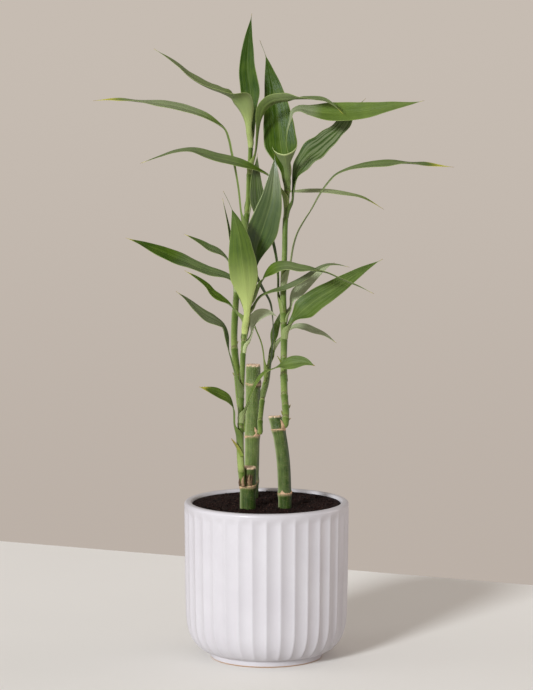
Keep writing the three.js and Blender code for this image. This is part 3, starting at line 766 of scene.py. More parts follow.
@dataclass(frozen=True)
class LeafBlade(Finish):
    """Leaf blade: green above, grey-green below, pale base, yellow tip and a painted streaky grey sheen.
    """

    name: str = "leaf_blade"
    specular: float = 0.14
    roughness: Pair = (0.34, 0.46)
    under_roughness: float = 0.58
    coat_roughness: float = 0.3
    deep: Colour = (0.018, 0.047, 0.0008, 1)
    fresh: Colour = (0.138, 0.208, 0.018, 1)
    under: Colour = (0.200, 0.225, 0.130, 1)
    pale: Colour = (0.36, 0.42, 0.14, 1)
    chalk: Colour = (0.54, 0.60, 0.37, 1)
    yellow: Colour = (0.46, 0.42, 0.06, 1)
    dry: Colour = (0.25, 0.15, 0.05, 1)
    below_share: float = 0.8

    def make(self, effects: Effects) -> bpy.types.Material:
        """Makes the material.

        Args:
            effects: The shared effects.

        Returns:
            The material.
        """
        material, graph, shader = self.start()
        across, along, below = graph.value("across"), graph.value("along"), graph.value("below")
        tone, grey = graph.value("tone"), graph.value("grey")
        veins, bands = (
            graph.mask(
                effects.fibres, Across=across, Along=along, Lines=lines, Stretch=stretch, Seed=tone
            )
            for lines, stretch in ((22.0, 3.0), (5.0, 2.0))
        )
        patches = graph.mask(effects.mottle, Place=graph.place(), Scale=70.0)
        shade = graph.total(
            tone,
            graph.spread(patches, -0.08, 0.09),
            graph.spread(veins, -0.06, 0.07),
            graph.spread(bands, -0.06, 0.06),
        )
        upper = graph.mix(shade, self.deep, self.fresh)
        lower = graph.mix(graph.spread(veins, 0.05, 0.35), self.under, upper)
        colour = graph.mix(graph.times(below, self.below_share), upper, lower)
        # Grey streaks and wash: painted sheen on glossy blades, and the blade's own grey-green on others
        even = graph.math("SUBTRACT", 1.0, graph.value("striped"))
        grey_and_sheen_stripes = graph.times(grey, graph.ramp(bands, 0.15, 0.6, even, 1.0))
        colour = graph.mix(grey_and_sheen_stripes, colour, self.under)
        aside = graph.math("ABSOLUTE", across)
        rib = graph.ramp(aside, 0.0, 0.05, 0.13, 0.0)
        colour = graph.mix(rib, colour, self.pale)
        margin = graph.ramp(aside, 0.92, 1.0, 0.0, 0.4)
        colour = graph.mix(margin, colour, self.pale)
        base = graph.mix(grey, self.pale, self.chalk)
        colour = graph.mix(graph.value("pale"), colour, base)
        ageing = graph.times(graph.value("yellow"), graph.ramp(bands, 0.0, 0.8, 0.75, 1.0))
        colour = graph.mix(ageing, colour, self.yellow)
        colour = graph.mix(graph.value("dry"), colour, self.dry)
        graph.join(colour, shader.inputs["Base Color"])
        above = graph.spread(patches, *self.roughness)
        graph.join(graph.spread(below, above, self.under_roughness), shader.inputs["Roughness"])
        graph.join(graph.value("gloss"), shader.inputs["Coat Weight"])
        shader.inputs["Coat Roughness"].default_value = self.coat_roughness
        self.relief(graph, shader, veins, depth=0.09, strength=0.8)
        return material


@dataclass(frozen=True)
class DryHusk(Finish):
    """Papery dry scale."""

    name: str = "dry_husk"
    specular: float = 0.12
    roughness: Pair = (0.6, 0.85)
    light: Colour = (0.56, 0.37, 0.23, 1)
    dark: Colour = (0.20, 0.11, 0.05, 1)
    bark: Colour = (0.050, 0.028, 0.013, 1)

    def make(self, effects: Effects) -> bpy.types.Material:
        """Makes the material.

        Args:
            effects: The shared effects.

        Returns:
            The material.
        """
        material, graph, shader = self.start()
        across, along = graph.value("across"), graph.value("along")
        fibres = graph.mask(effects.fibres, Across=across, Along=along, Lines=7.0, Stretch=1.5)
        patches = graph.mask(effects.mottle, Place=graph.place(), Scale=500.0)
        colour = graph.mix(graph.times(fibres, patches), self.light, self.dark)
        colour = graph.mix(graph.value("bark"), colour, self.bark)
        graph.join(colour, shader.inputs["Base Color"])
        graph.join(graph.spread(patches, *self.roughness), shader.inputs["Roughness"])
        self.relief(graph, shader, fibres, depth=0.12)
        return material


@dataclass(frozen=True)
class TableFinish(Finish):
    """Plain pale table top."""

    name: str = "table_top"
    specular: float = 0.1
    roughness: float = 0.75
    pale: Colour = (0.80, 0.78, 0.75, 1)
    shade: Colour = (0.79, 0.77, 0.74, 1)

    def make(self, effects: Effects) -> bpy.types.Material:
        """Makes the material.

        Args:
            effects: The shared effects.

        Returns:
            The material.
        """
        material, graph, shader = self.start()
        patches = graph.mask(effects.mottle, Place=graph.place(), Scale=6.0)
        graph.join(graph.mix(patches, self.pale, self.shade), shader.inputs["Base Color"])
        shader.inputs["Roughness"].default_value = self.roughness
        return material


@dataclass
class Palette:
    """Every material of the scene, made once."""

    effects: Effects = field(default_factory=Effects)

    def __post_init__(self) -> None:
        """Makes the materials."""
        self.pot = PotGlaze().make(self.effects)
        self.soil = SoilFinish().make(self.effects)
        self.cane = CaneSkin().make(self.effects)
        self.shoot = ShootSkin().make(self.effects)
        self.leaf = LeafBlade().make(self.effects)
        self.husk = DryHusk().make(self.effects)
        self.table = TableFinish().make(self.effects)


@dataclass(frozen=True)
class StemSpot:
    """Where a vertex of a stem is, and what its material should show there."""

    radius: float
    values: dict[str, float]
    rise: float = 0.0


@dataclass(frozen=True)
class StemLoft:
    """A round stem lofted along a line, closed at its foot and dished at its cut top."""

    line: SmoothLine
    sides: int
    spacing: float
    spot: Callable[[float, float, float], StemSpot]
    dish: float
    names: tuple[str, ...]

    # The loops of the cut top: their part of the radius, and how far they sink into the dish
    CUT_LOOPS = ((0.88, 0.12), (0.6, 0.55), (0.3, 0.85))
    GRAIN_DEPTH = 0.35
    GRAIN_REACH = 3

    def loop(self, draft: MeshDraft, share: float, part: float = 1.0, sink: float = 0.0) -> list[int]:
        """Adds one loop of vertices.

        Args:
            draft: Takes the vertices.
            share: Share of the stem's length.
            part: Its part of the full radius.
            sink: How far it sinks, as a share of the dish. It is 0 below the cut top.

        Returns:
            The loop.
        """
        centre, _, side, back = self.line.frame(share)
        along = side.cross(back)
        row = []
        for j in range(self.sides):
            turn = 2 * math.pi * j / self.sides
            there = self.spot(share, centre.z, turn)
            out = side * math.cos(turn) + back * math.sin(turn)
            values, sunk = there.values, 0.0
            if sink:
                grain = noise.noise(on_circle(turn, part * self.GRAIN_REACH, centre.z) * 2)
                values = {**values, "cut": 1.0}
                sunk = self.dish * (sink + self.GRAIN_DEPTH * grain)
            place = centre + out * there.radius * part + along * (there.rise * part - sunk)
            row.append(draft.add(place, **values))
        return row

    def make(self) -> MeshDraft:
        """Makes the closed mesh of the stem."""
        draft = MeshDraft(*self.names)
        count = round(self.line.length / self.spacing)
        rows = [self.loop(draft, i / count) for i in range(count + 1)]
        draft.quads(rows, closed=True)
        draft.fan(draft.add(self.line.at(0.0)), list(reversed(rows[0])))
        edge = rows[-1]
        for part, sink in self.CUT_LOOPS:
            ring = self.loop(draft, 1.0, part, sink)
            draft.quads([edge, ring], closed=True)
            edge = ring
        centre, _, side, back = self.line.frame(1.0)
        draft.fan(draft.add(centre - side.cross(back) * self.dish, cut=1.0), edge)
        return draft


@dataclass(frozen=True)
class Peak:
    """A torn point of a collar: where it stands in degrees, its height and half its width."""

    turn: float
    height: float
    half: float


@dataclass(frozen=True)
class Collar:
    """Torn papery edge of an old leaf base round a cane."""

    height: float
    lift: float
    slope: float = 0.0
    peaks: tuple[Peak, ...] = ()
    covered: Pair = (0, 360)

    SLOPE_TURN = 180
    STEPS = 90
    STEPS_PER_FIBRE = 9
    ROUGHNESS = 0.7
    PEAK_POWER = 1.4
    LEAST_RISE = 0.15
    END_FADE = 14

    def reach(self, turn: float) -> float:
        """Finds how high the torn edge stands.

        Args:
            turn: Angle round the cane, in degrees.

        Returns:
            Its height over the collar's foot.
        """
        low, high = self.covered
        past = (turn - low) % 360
        if past > high - low:
            return 0.0
        around = on_circle(math.radians(turn), height=self.height)
        torn = noise.noise(around * 2.3) * 0.55 + noise.noise(around * 6.1) * 0.45
        rise = self.lift * (1 + self.ROUGHNESS * torn)
        for peak in self.peaks:
            apart = turn_apart(turn, peak.turn)
            rise += peak.height * max(0.0, 1 - apart / peak.half) ** self.PEAK_POWER
        from_end = min(past, (high - turn) % 360) if high - low < 360 else self.END_FADE
        return max(self.LEAST_RISE, rise) * ramp(from_end, 0, self.END_FADE)

    def add_to(self, draft: MeshDraft, line: SmoothLine, radius: float) -> None:
        """Adds the collar to a draft.

        Args:
            draft: Takes the vertices and faces.
            line: Middle of the cane.
            radius: Radius of the cane.
        """
        centre, along, side, back = line.frame(line.share_at_height(self.height))
        rows: list[list[int]] = [[] for _ in range(6)]
        for j in range(self.STEPS):
            turn = 360 * j / self.STEPS
            spin = math.radians(turn)
            out = side * math.cos(spin) + back * math.sin(spin)
            rise = self.reach(turn)
            tilt = self.slope * math.cos(math.radians(turn - self.SLOPE_TURN))
            flare = 0.12 + 0.16 * rise
            # Up the outside from the foot to the torn edge, and down the inside to the cane
            profile = (
                (radius - 0.25, -0.9),
                (radius + 0.30, -0.6),
                (radius + 0.42, 0.0),
                (radius + 0.36 + flare * 0.6, rise * 0.6),
                (radius + 0.26 + flare, rise),
                (radius - 0.3, rise * 0.35),
            )
            for row, (reach, height) in zip(rows, profile):
                place = centre + out * reach + along * (height + tilt)
                row.append(draft.add(place, across=j / self.STEPS_PER_FIBRE, along=height * 0.4))
        draft.quads(rows, closed=True)


@dataclass(frozen=True)
class HuskPatch:
    """Dark ragged bark left on a cane: its heights, its heading and half its width in degrees."""

    low: float
    high: float
    heading: float
    half: float

    def cover(self, height: float, turn: float) -> float:
        """Tells how far the patch covers a place.

        Args:
            height: Height over the table.
            turn: Angle round the cane, in radians.

        Returns:
            A share between 0 and 1.
        """
        inside = ramp(height, self.low - 0.5, self.low + 0.5)
        inside *= 1 - ramp(height, self.high - 2.5, self.high)
        apart = turn_apart(math.degrees(turn), self.heading)
        return inside * (1 - ramp(apart, self.half * 0.7, self.half))


@dataclass(frozen=True)
class Cane:
    """A cut cane, which stands in the soil."""

    place: str
    line: tuple[Point, ...]
    radius: float
    rings: tuple[float, ...]
    tone: float
    collars: tuple[Collar, ...]
    husks: tuple[HuskPatch, ...] = ()
    cut_slope: float = 0.0

    SIDES = 48
    SPACING = 0.9
    DISH = 0.7
    CUT_TURN = 180
    WOBBLE = 0.018
    RING_SWELL = 0.5
    SWELL_WIDTH = 2.6
    SCAR_WIDTH = 0.8
    SCAR_SHARE = 0.55
    FOOT_SHADE = 0.2
    FRAY = 0.45
    VALUES = ("turn", "along", "ring", "husk", "cut", "tone")

    def spot(self, share: float, height: float, turn: float) -> StemSpot:
        """Shapes and tints the skin.

        Args:
            share: Share of the cane's length.
            height: Height over the table.
            turn: Angle round the cane, in radians.

        Returns:
            The radius and values there.
        """
        around = on_circle(turn)
        wobble = noise.noise(around * 1.1 + UP * (height * 0.05))
        ring = swell = 0.0
        for middle in self.rings:
            apart = height - middle + 0.5 * noise.noise(around * 2.0 + UP * middle)
            ring = max(ring, bell(apart, self.SCAR_WIDTH))
            swell = max(swell, bell(apart, self.SWELL_WIDTH))
        husk = max([0.0, *(patch.cover(height, turn) for patch in self.husks)])
        ragged = husk * (0.3 + 0.5 * noise.noise(around * 5 + UP * (height * 0.9)))
        top = ramp(share, 0.985, 1.0)
        frayed = noise.noise(around * 7)
        below_cut = self.line[-1][2] - height
        radius = self.radius * (1 + self.WOBBLE * wobble) + self.RING_SWELL * swell + ragged - 0.35 * top
        values = {
            "turn": mirrored(turn),
            "along": height * 0.02,
            "ring": self.SCAR_SHARE * ring,
            "husk": husk,
            "cut": 1 - ramp(below_cut + 0.9 * frayed, 0.6, 1.3),
            "tone": self.tone - self.FOOT_SHADE * (1 - ramp(height, self.rings[0] - 3, self.rings[0])),
        }
        slant = self.cut_slope * math.cos(turn - math.radians(self.CUT_TURN)) * ramp(share, 0.9, 1.0)
        return StemSpot(radius, values, slant + self.FRAY * frayed * top)

    def build(self, palette: Palette) -> None:
        """Builds the cane and its torn collars.

        Args:
            palette: The materials.
        """
        line = SmoothLine([Vector(point) for point in self.line])
        stem = StemLoft(line, self.SIDES, self.SPACING, self.spot, self.DISH, self.VALUES).make()
        settle(stem.build(f"cane_{self.place}_skin", palette.cane), "cane", f"cane_{self.place}")
        torn = MeshDraft("across", "along", "bark")
        for collar in self.collars:
            collar.add_to(torn, line, self.radius)
        settle(torn.build(f"cane_{self.place}_collars", palette.husk), "cane")


@dataclass(frozen=True)
class LeafPlan:
    """How one leaf is laid out along its rib, from its clasping base to its tip."""

    rib: SmoothLine
    clasp_end: float
    neck_at: float
    widths: tuple[Pair, ...]
    folds: tuple[Pair, ...]
    base_side: Vector
    blade_side: Vector
    seed: float

    CLASP_STEPS = 8
    NECK_STEPS = 10
    BLADE_STEP = 2.2
    FEWEST_BLADE_STEPS = 30

    def shares(self) -> list[float]:
        """Lists the shares of the sections, close together at the base and even along the blade."""
        shares = [self.clasp_end * i / self.CLASP_STEPS for i in range(self.CLASP_STEPS)]
        neck, blade = self.neck_at - self.clasp_end, 1 - self.neck_at
        shares += [self.clasp_end + neck * i / self.NECK_STEPS for i in range(self.NECK_STEPS)]
        count = max(self.FEWEST_BLADE_STEPS, round(self.rib.length * blade / self.BLADE_STEP))
        return shares + [self.neck_at + blade * i / count for i in range(count + 1)]


@dataclass(frozen=True)
class LeafSection:
    """One cross section of a leaf: its place on the rib, its directions, half width and fold."""

    share: float
    point: Vector
    side: Vector
    upper: Vector
    half: float
    fold: float


@dataclass(frozen=True)
class LeafForm:
    """One leaf: where it clasps its shoot, how its rib runs, how its blade turns, its colours."""

    start: float
    clasp: float
    heading: float
    spread: float
    width: float
    widest: float
    neck: float
    rib: tuple[Point, ...]
    tone: float
    yellow: float = 0.02
    fold: float = 14
    roll: tuple[Pair, ...] = ((0, 0), (1, 0))
    pale: float = 0.15
    wave: float = 0.2
    tail: float = 0.06
    lean: float = 0.0
    neck_end: float = 0.0
    folds: tuple[Pair, ...] = ()
    # Grey along the blade: painted sheen on glossy blades, and the blade's own grey-green on others
    greys_and_sheen: tuple[Pair, ...] = ((0, 0),)
    gloss: float = 0.0
    under: float = 0.3
    bleach: float = 0.35
    striped: float = 0.25

    # How far the clasping base stands off the stem at its foot, middle and top
    CLASP_LIFTS = (0.12, 0.4, 0.75)
    CLASP_FOLD = 122.0
    CLASP_NARROWING = 0.92
    NECK_FOLD = 50.0
    NECK_REACH = 12.0
    TIP_HALF_WIDTH = 0.12
    COLUMNS = 24
    THICKNESS = 0.26
    CREASE_DEPTH = 0.4
    CREASE_WIDTH = 0.16
    PLEATS = 7
    PLEAT_DEPTH = 0.05
    LONG_WAVE = 7.5
    SHORT_WAVE = 4.1
    EDGE_WAVE = 2.6
    GRAIN_LENGTH = 90
    VALUES = ("across", "along", "below", "tone", "pale", "yellow", "dry", "grey", "striped", "gloss")

    def leaned_rib(self) -> list[Vector]:
        """Finds the rib's points, which lean back or forward towards the tip."""
        points = []
        for i, point in enumerate(self.rib):
            here = Vector(point)
            depth = here.y + self.lean * ((i + 1) / len(self.rib)) ** 1.5
            points.append(FRONT_EYE.lerp(here, (depth - FRONT_EYE.y) / (here.y - FRONT_EYE.y)))
        return points

    def plan(self, shoot: "Shoot") -> LeafPlan:
        """Lays the leaf out.

        Args:
            shoot: The shoot that it grows from.

        Returns:
            The plan.
        """
        stem = shoot.spine()
        away = on_circle(math.radians(self.heading))
        stem_radius = shoot.taper(stem.share_at_height(self.start))
        clasped = []
        for part, lift in zip((0.0, 0.5, 1.0), self.CLASP_LIFTS):
            centre = stem.at(stem.share_at_height(self.start + part * self.clasp))
            clasped.append(centre + away * (stem_radius + lift))
        rib = SmoothLine(clasped + self.leaned_rib())
        clasp_end = self.clasp / rib.length
        neck_at = min(clasp_end + self.NECK_REACH / rib.length, self.widest * 0.55)
        clasp_fold = math.radians(self.CLASP_FOLD)
        blade_folds = self.folds or ((self.widest * 0.9, self.fold), (1.0, self.fold * 1.3))
        neck_fold = max(self.NECK_FOLD, blade_folds[0][1])
        return LeafPlan(
            rib=rib,
            clasp_end=clasp_end,
            neck_at=neck_at,
            widths=(
                (0.0, (stem_radius + self.CLASP_LIFTS[0]) * clasp_fold),
                (clasp_end, (stem_radius + self.CLASP_LIFTS[2]) * clasp_fold * self.CLASP_NARROWING),
                (neck_at, self.neck),
                (max(neck_at, self.neck_end), self.neck),
                (self.widest, self.width / 2),
            ),
            folds=((clasp_end, self.CLASP_FOLD), (neck_at, neck_fold), *blade_folds),
            base_side=UP.cross(away),
            blade_side=UP.cross(on_circle(math.radians(self.spread))),
            seed=self.start * 0.37,
        )

    def half_width(self, share: float, widths: Sequence[Pair]) -> float:
        """Finds half the blade's width.

        Args:
            share: Share of the leaf's length.
            widths: Half widths up to the widest place.

        Returns:
            Half the width there.
        """
        if share <= self.widest:
            return eased_value(widths, share)
        past = (share - self.widest) / (1 - self.widest) / (1 - self.tail)
        fall = min(1.0, past) ** (1.45 + 1.5 * self.tail)
        return self.TIP_HALF_WIDTH + (self.width / 2 - self.TIP_HALF_WIDTH) * (1 - fall)

    def section(self, plan: LeafPlan, share: float) -> LeafSection:
        """Works out one cross section.

        Args:
            plan: The leaf's plan.
            share: Share of the leaf's length.

        Returns:
            The section.
        """
        along = plan.rib.tangent(share)
        turned = smooth((share - plan.clasp_end) / (self.widest - plan.clasp_end))
        level = plan.base_side.lerp(plan.blade_side, turned)
        level = (level - along * level.dot(along)).normalized()
        over = along.cross(level)
        roll = 0.0 if share <= plan.clasp_end else math.radians(eased_value(self.roll, share))
        ripple = math.sin(plan.rib.length * share / self.EDGE_WAVE + plan.seed)
        half = self.half_width(share, plan.widths)
        return LeafSection(
            share=share,
            point=plan.rib.at(share),
            side=level * math.cos(roll) + over * math.sin(roll),
            upper=over * math.cos(roll) - level * math.sin(roll),
            half=half * (1 + 0.05 * self.wave * turned * ripple),
            fold=math.radians(eased_value(plan.folds, share)),
        )

    def look(self, plan: LeafPlan, share: float, across: float) -> dict[str, float]:
        """Finds what the material should show at a place.

        Args:
            plan: The leaf's plan.
            share: Share of the leaf's length.
            across: From -1 to 1 between the two edges.

        Returns:
            The values there.
        """
        reach, gone = share * plan.rib.length, 1 - share
        values = {
            "across": across,
            "along": reach / self.GRAIN_LENGTH,
            "tone": self.tone,
            "pale": self.bleach * (1 - ramp(share, self.pale * 0.35, self.pale * 1.5)),
            "grey": eased_value(self.greys_and_sheen, share),
            "striped": self.striped,
            "gloss": self.gloss,
        }
        if self.widest < 1:
            uneven = 0.5 + 0.5 * noise.noise(Vector((across * 1.6, reach * 0.08, plan.seed)))
            tip = self.yellow * (0.7 + 0.7 * abs(across) * uneven)
            values["yellow"] = 1 - ramp(gone, tip * 0.35, tip)
            values["dry"] = 0.9 * (1 - ramp(gone, 0.006, 0.006 + 0.12 * self.yellow))
        else:
            values["pale"] = 1 - ramp(gone, 0.01, 0.07)
        return values

    def swell(self, plan: LeafPlan, section: LeafSection, across: float) -> float:
        """Finds how far the skin stands off the plain folded blade, towards its lower side.

        Args:
            plan: The leaf's plan.
            section: The cross section.
            across: From -1 to 1 between the two edges.

        Returns:
            The distance.
        """
        blade = ramp(section.share, plan.neck_at, min(0.9, plan.neck_at + 0.25))
        reach = section.share * plan.rib.length
        wave = math.sin(reach / self.LONG_WAVE + plan.seed)
        wave += 0.6 * math.sin(reach / self.SHORT_WAVE + 2 * plan.seed + 2 * across)
        lift = self.wave * blade * across * across * wave * min(1.0, section.half / 4)
        pleat = self.PLEAT_DEPTH * min(1.0, section.half / 5) * math.cos(across * math.pi * self.PLEATS)
        crease = -self.CREASE_DEPTH * blade * min(1.0, section.half / 6) * bell(across, self.CREASE_WIDTH)
        return -(lift + pleat + crease)

    def add_section(self, draft: MeshDraft, plan: LeafPlan, share: float) -> tuple[list[int], list[int]]:
        """Adds one section of the leaf to both faces.

        Args:
            draft: Takes the vertices.
            plan: The leaf's plan.
            share: Share of the leaf's length.

        Returns:
            The section's row of the upper face and its row of the lower face.
        """
        section = self.section(plan, share)
        radius = section.half / section.fold
        centre = section.point + section.upper * radius
        thickness = self.THICKNESS * (1 - 0.55 * ramp(share, 0.8, 1.0))
        upper_row, lower_row = [], []
        for j in range(self.COLUMNS + 1):
            across = 2 * j / self.COLUMNS - 1
            angle = across * section.fold
            outward = section.side * math.sin(angle) - section.upper * math.cos(angle)
            shift = self.swell(plan, section, across)
            thin = thickness * (1 - 0.6 * across**4)
            values = self.look(plan, share, across)
            for row, below, offset in ((upper_row, 0.0, -thin), (lower_row, self.under, thin)):
                place = centre + outward * (radius + offset + shift)
                row.append(draft.add(place, below=below, **values))
        return upper_row, lower_row

    def build(self, shoot: "Shoot", name: str, node: str, palette: Palette) -> None:
        """Builds the leaf.

        Args:
            shoot: The shoot that it grows from.
            name: Name of the piece.
            node: The node that it stands for.
            palette: The materials.
        """
        plan = self.plan(shoot)
        draft = MeshDraft(*self.VALUES)
        upper, lower = zip(*(self.add_section(draft, plan, share) for share in plan.shares()))
        draft.blade(upper, lower)
        settle(draft.build(name, palette.leaf), "leaf", node)


@dataclass(frozen=True)
class Shoot:
    """A slim leafy stem that grows beside a ring of its cane."""

    place: str
    line: tuple[Point, ...]
    base: float
    tip: float
    nodes: tuple[float, ...]
    ring: Point
    leaves: tuple[LeafForm, ...]

    SIDES = 24
    SPACING = 0.75
    DISH = 0.3
    FOOT_SPACING = 0.3
    FOOT_DISH = 0.1
    # The bent foot's middle: shares of the way back to the cane, and heights over the shoot's foot
    FOOT_BEND = ((0.6, 0.9), (0.2, 1.2), (0.0, 2.2), (0.0, 3.8))
    LEAST_RING_GAP = 4
    PAST_TIP = 8
    SEAM_SLOPE = 1.9
    SEAM_HEIGHT = 0.9
    SEAM_WIDTH = 0.4
    VALUES = ("turn", "along", "climb", "ring", "seam")

    def spine(self) -> SmoothLine:
        """Finds the middle line of the shoot."""
        return SmoothLine([Vector(point) for point in self.line])

    def taper(self, share: float) -> float:
        """Finds the plain radius."""
        return self.base + (self.tip - self.base) * share**1.6

    def rings(self) -> list[float]:
        """Lists the heights of the rings, one under each leaf too."""
        heights = sorted([*self.nodes, *(leaf.start - 0.6 for leaf in self.leaves)])
        kept: list[float] = []
        for height in heights:
            if not kept or height - kept[-1] > self.LEAST_RING_GAP:
                kept.append(height)
        return kept

    def spot(self, share: float, height: float, turn: float) -> StemSpot:
        """Shapes and tints the skin, with slanted rings where old leaves sat.

        Args:
            share: Share of the shoot's length.
            height: Height over the table.
            turn: Angle round the shoot, in radians.

        Returns:
            The radius and values there.
        """
        foot, top = self.line[0][2], self.line[-1][2]
        torn = 0.7 * noise.noise(on_circle(turn, 2, height * 0.4))
        level = height + (self.SEAM_SLOPE * math.sin(turn) + torn) * ramp(height, foot, foot + 6)
        rings = self.rings()
        below = max([foot, *(ring for ring in rings if ring <= level)])
        above = min([top + self.PAST_TIP, *(ring for ring in rings if ring > level)])
        climb = (level - below) / (above - below)
        apart = min(abs(level - below), abs(level - above))
        swell = 0.24 * climb**3 + 0.12 * bell(apart, 0.9)
        close = (1 - 0.55 * ramp(share, 0.985, 1.0)) * (0.5 + 0.5 * ramp(height, foot - 0.6, foot + 2.4))
        scarred = 1.0 if below > foot else 0.0
        values = {
            "turn": mirrored(turn),
            "along": height * 0.02,
            "climb": 0.2 + 0.7 * climb,
            "ring": 0.35 * bell(apart, 0.4),
            "seam": 0.9 * scarred * bell(level - below - self.SEAM_HEIGHT, self.SEAM_WIDTH),
        }
        return StemSpot((self.taper(share) + swell) * close, values)

    def foot_line(self) -> SmoothLine:
        """Finds the middle of the bent foot, from inside the cane up into the shoot."""
        foot = Vector(self.line[0])
        inward = Vector(self.ring) - foot
        inward.z = 0
        return SmoothLine([foot + inward * reach + UP * lift for reach, lift in self.FOOT_BEND])

    def foot_spot(self, share: float, height: float, turn: float) -> StemSpot:
        """Shapes and tints the bent foot, slim at the cane.

        Args:
            share: Share of the foot's length.
            height: Height over the table.
            turn: Angle round the foot, in radians.

        Returns:
            The radius and values there.
        """
        radius = self.base * (0.56 + 0.3 * ramp(share, 0.1, 0.6))
        torn = noise.noise(on_circle(turn, 2, height))
        return StemSpot(radius, {"turn": mirrored(turn), "climb": 0.8, "seam": 0.35 + 0.3 * torn})

    def build(self, palette: Palette) -> None:
        """Builds the shoot, its bent foot and its leaves.

        Args:
            palette: The materials.
        """
        skin = StemLoft(self.spine(), self.SIDES, self.SPACING, self.spot, self.DISH, self.VALUES)
        piece = skin.make().build(f"shoot_{self.place}_skin", palette.shoot)
        settle(piece, "shoot", f"shoot_{self.place}")
        foot = StemLoft(
            self.foot_line(), self.SIDES, self.FOOT_SPACING, self.foot_spot, self.FOOT_DISH, self.VALUES
        )
        settle(foot.make().build(f"shoot_{self.place}_foot", palette.shoot), "shoot")
        for i, leaf in enumerate(self.leaves, 1):
            leaf.build(self, f"blade_{self.place}_{i}", f"leaf_{self.place}_{i}", palette)


class ScaleKind(Enum):
    """What a small scale is made of."""

    DRY = "dry"
    GREEN = "green"


@dataclass(frozen=True)
class BudScale:
    """A small pointed scale or torn strip on a stem."""

    name: str
    root: Point
    bend: Point
    tip: Point
    facing: float
    width: float
    kind: ScaleKind = ScaleKind.DRY
    dry: float = 0.3
    tone: float = 0.4
    bark: float = 0.0

    STEPS = 14
    COLUMNS = 6
    HALF_THICKNESS = 0.16
    TIP_HALF_WIDTH = 0.06
    BOW = 0.35
    VALUES = ("across", "along", "below", "tone", "pale", "yellow", "dry", "bark")

    def build(self, palette: Palette) -> None:
        """Builds the scale.

        Args:
            palette: The materials.
        """
        rib = SmoothLine([Vector(self.root), Vector(self.bend), Vector(self.tip)])
        away = on_circle(math.radians(self.facing))
        draft = MeshDraft(*self.VALUES)
        upper_rows, lower_rows = [], []
        for i in range(self.STEPS + 1):
            share = i / self.STEPS
            along = rib.tangent(share)
            side = away.cross(along).normalized()
            out = along.cross(side)
            half = self.width / 2 * (1 - share**1.8) ** 0.8 + self.TIP_HALF_WIDTH
            upper, lower = [], []
            for j in range(self.COLUMNS + 1):
                across = 2 * j / self.COLUMNS - 1
                bow = -self.BOW * self.width * across * across * (1 - share)
                ragged = 0.12 * noise.noise(Vector((across * 3, share * 7, self.root[2])))
                values = {
                    "across": across,
                    "along": share,
                    "tone": self.tone,
                    "pale": 0.2 * (1 - share),
                    "yellow": 0.3 * share,
                    "dry": self.dry * share**2,
                    "bark": self.bark,
                }
                for face, offset in ((upper, self.HALF_THICKNESS), (lower, -self.HALF_THICKNESS)):
                    place = rib.at(share) + side * half * across + out * (bow + ragged + offset)
                    face.append(draft.add(place, **values))
            upper_rows.append(upper)
            lower_rows.append(lower)
        draft.blade(upper_rows, lower_rows)
        green = self.kind is ScaleKind.GREEN
        piece = draft.build(self.name, palette.leaf if green else palette.husk)
        settle(piece, "leaf" if green else "cane")


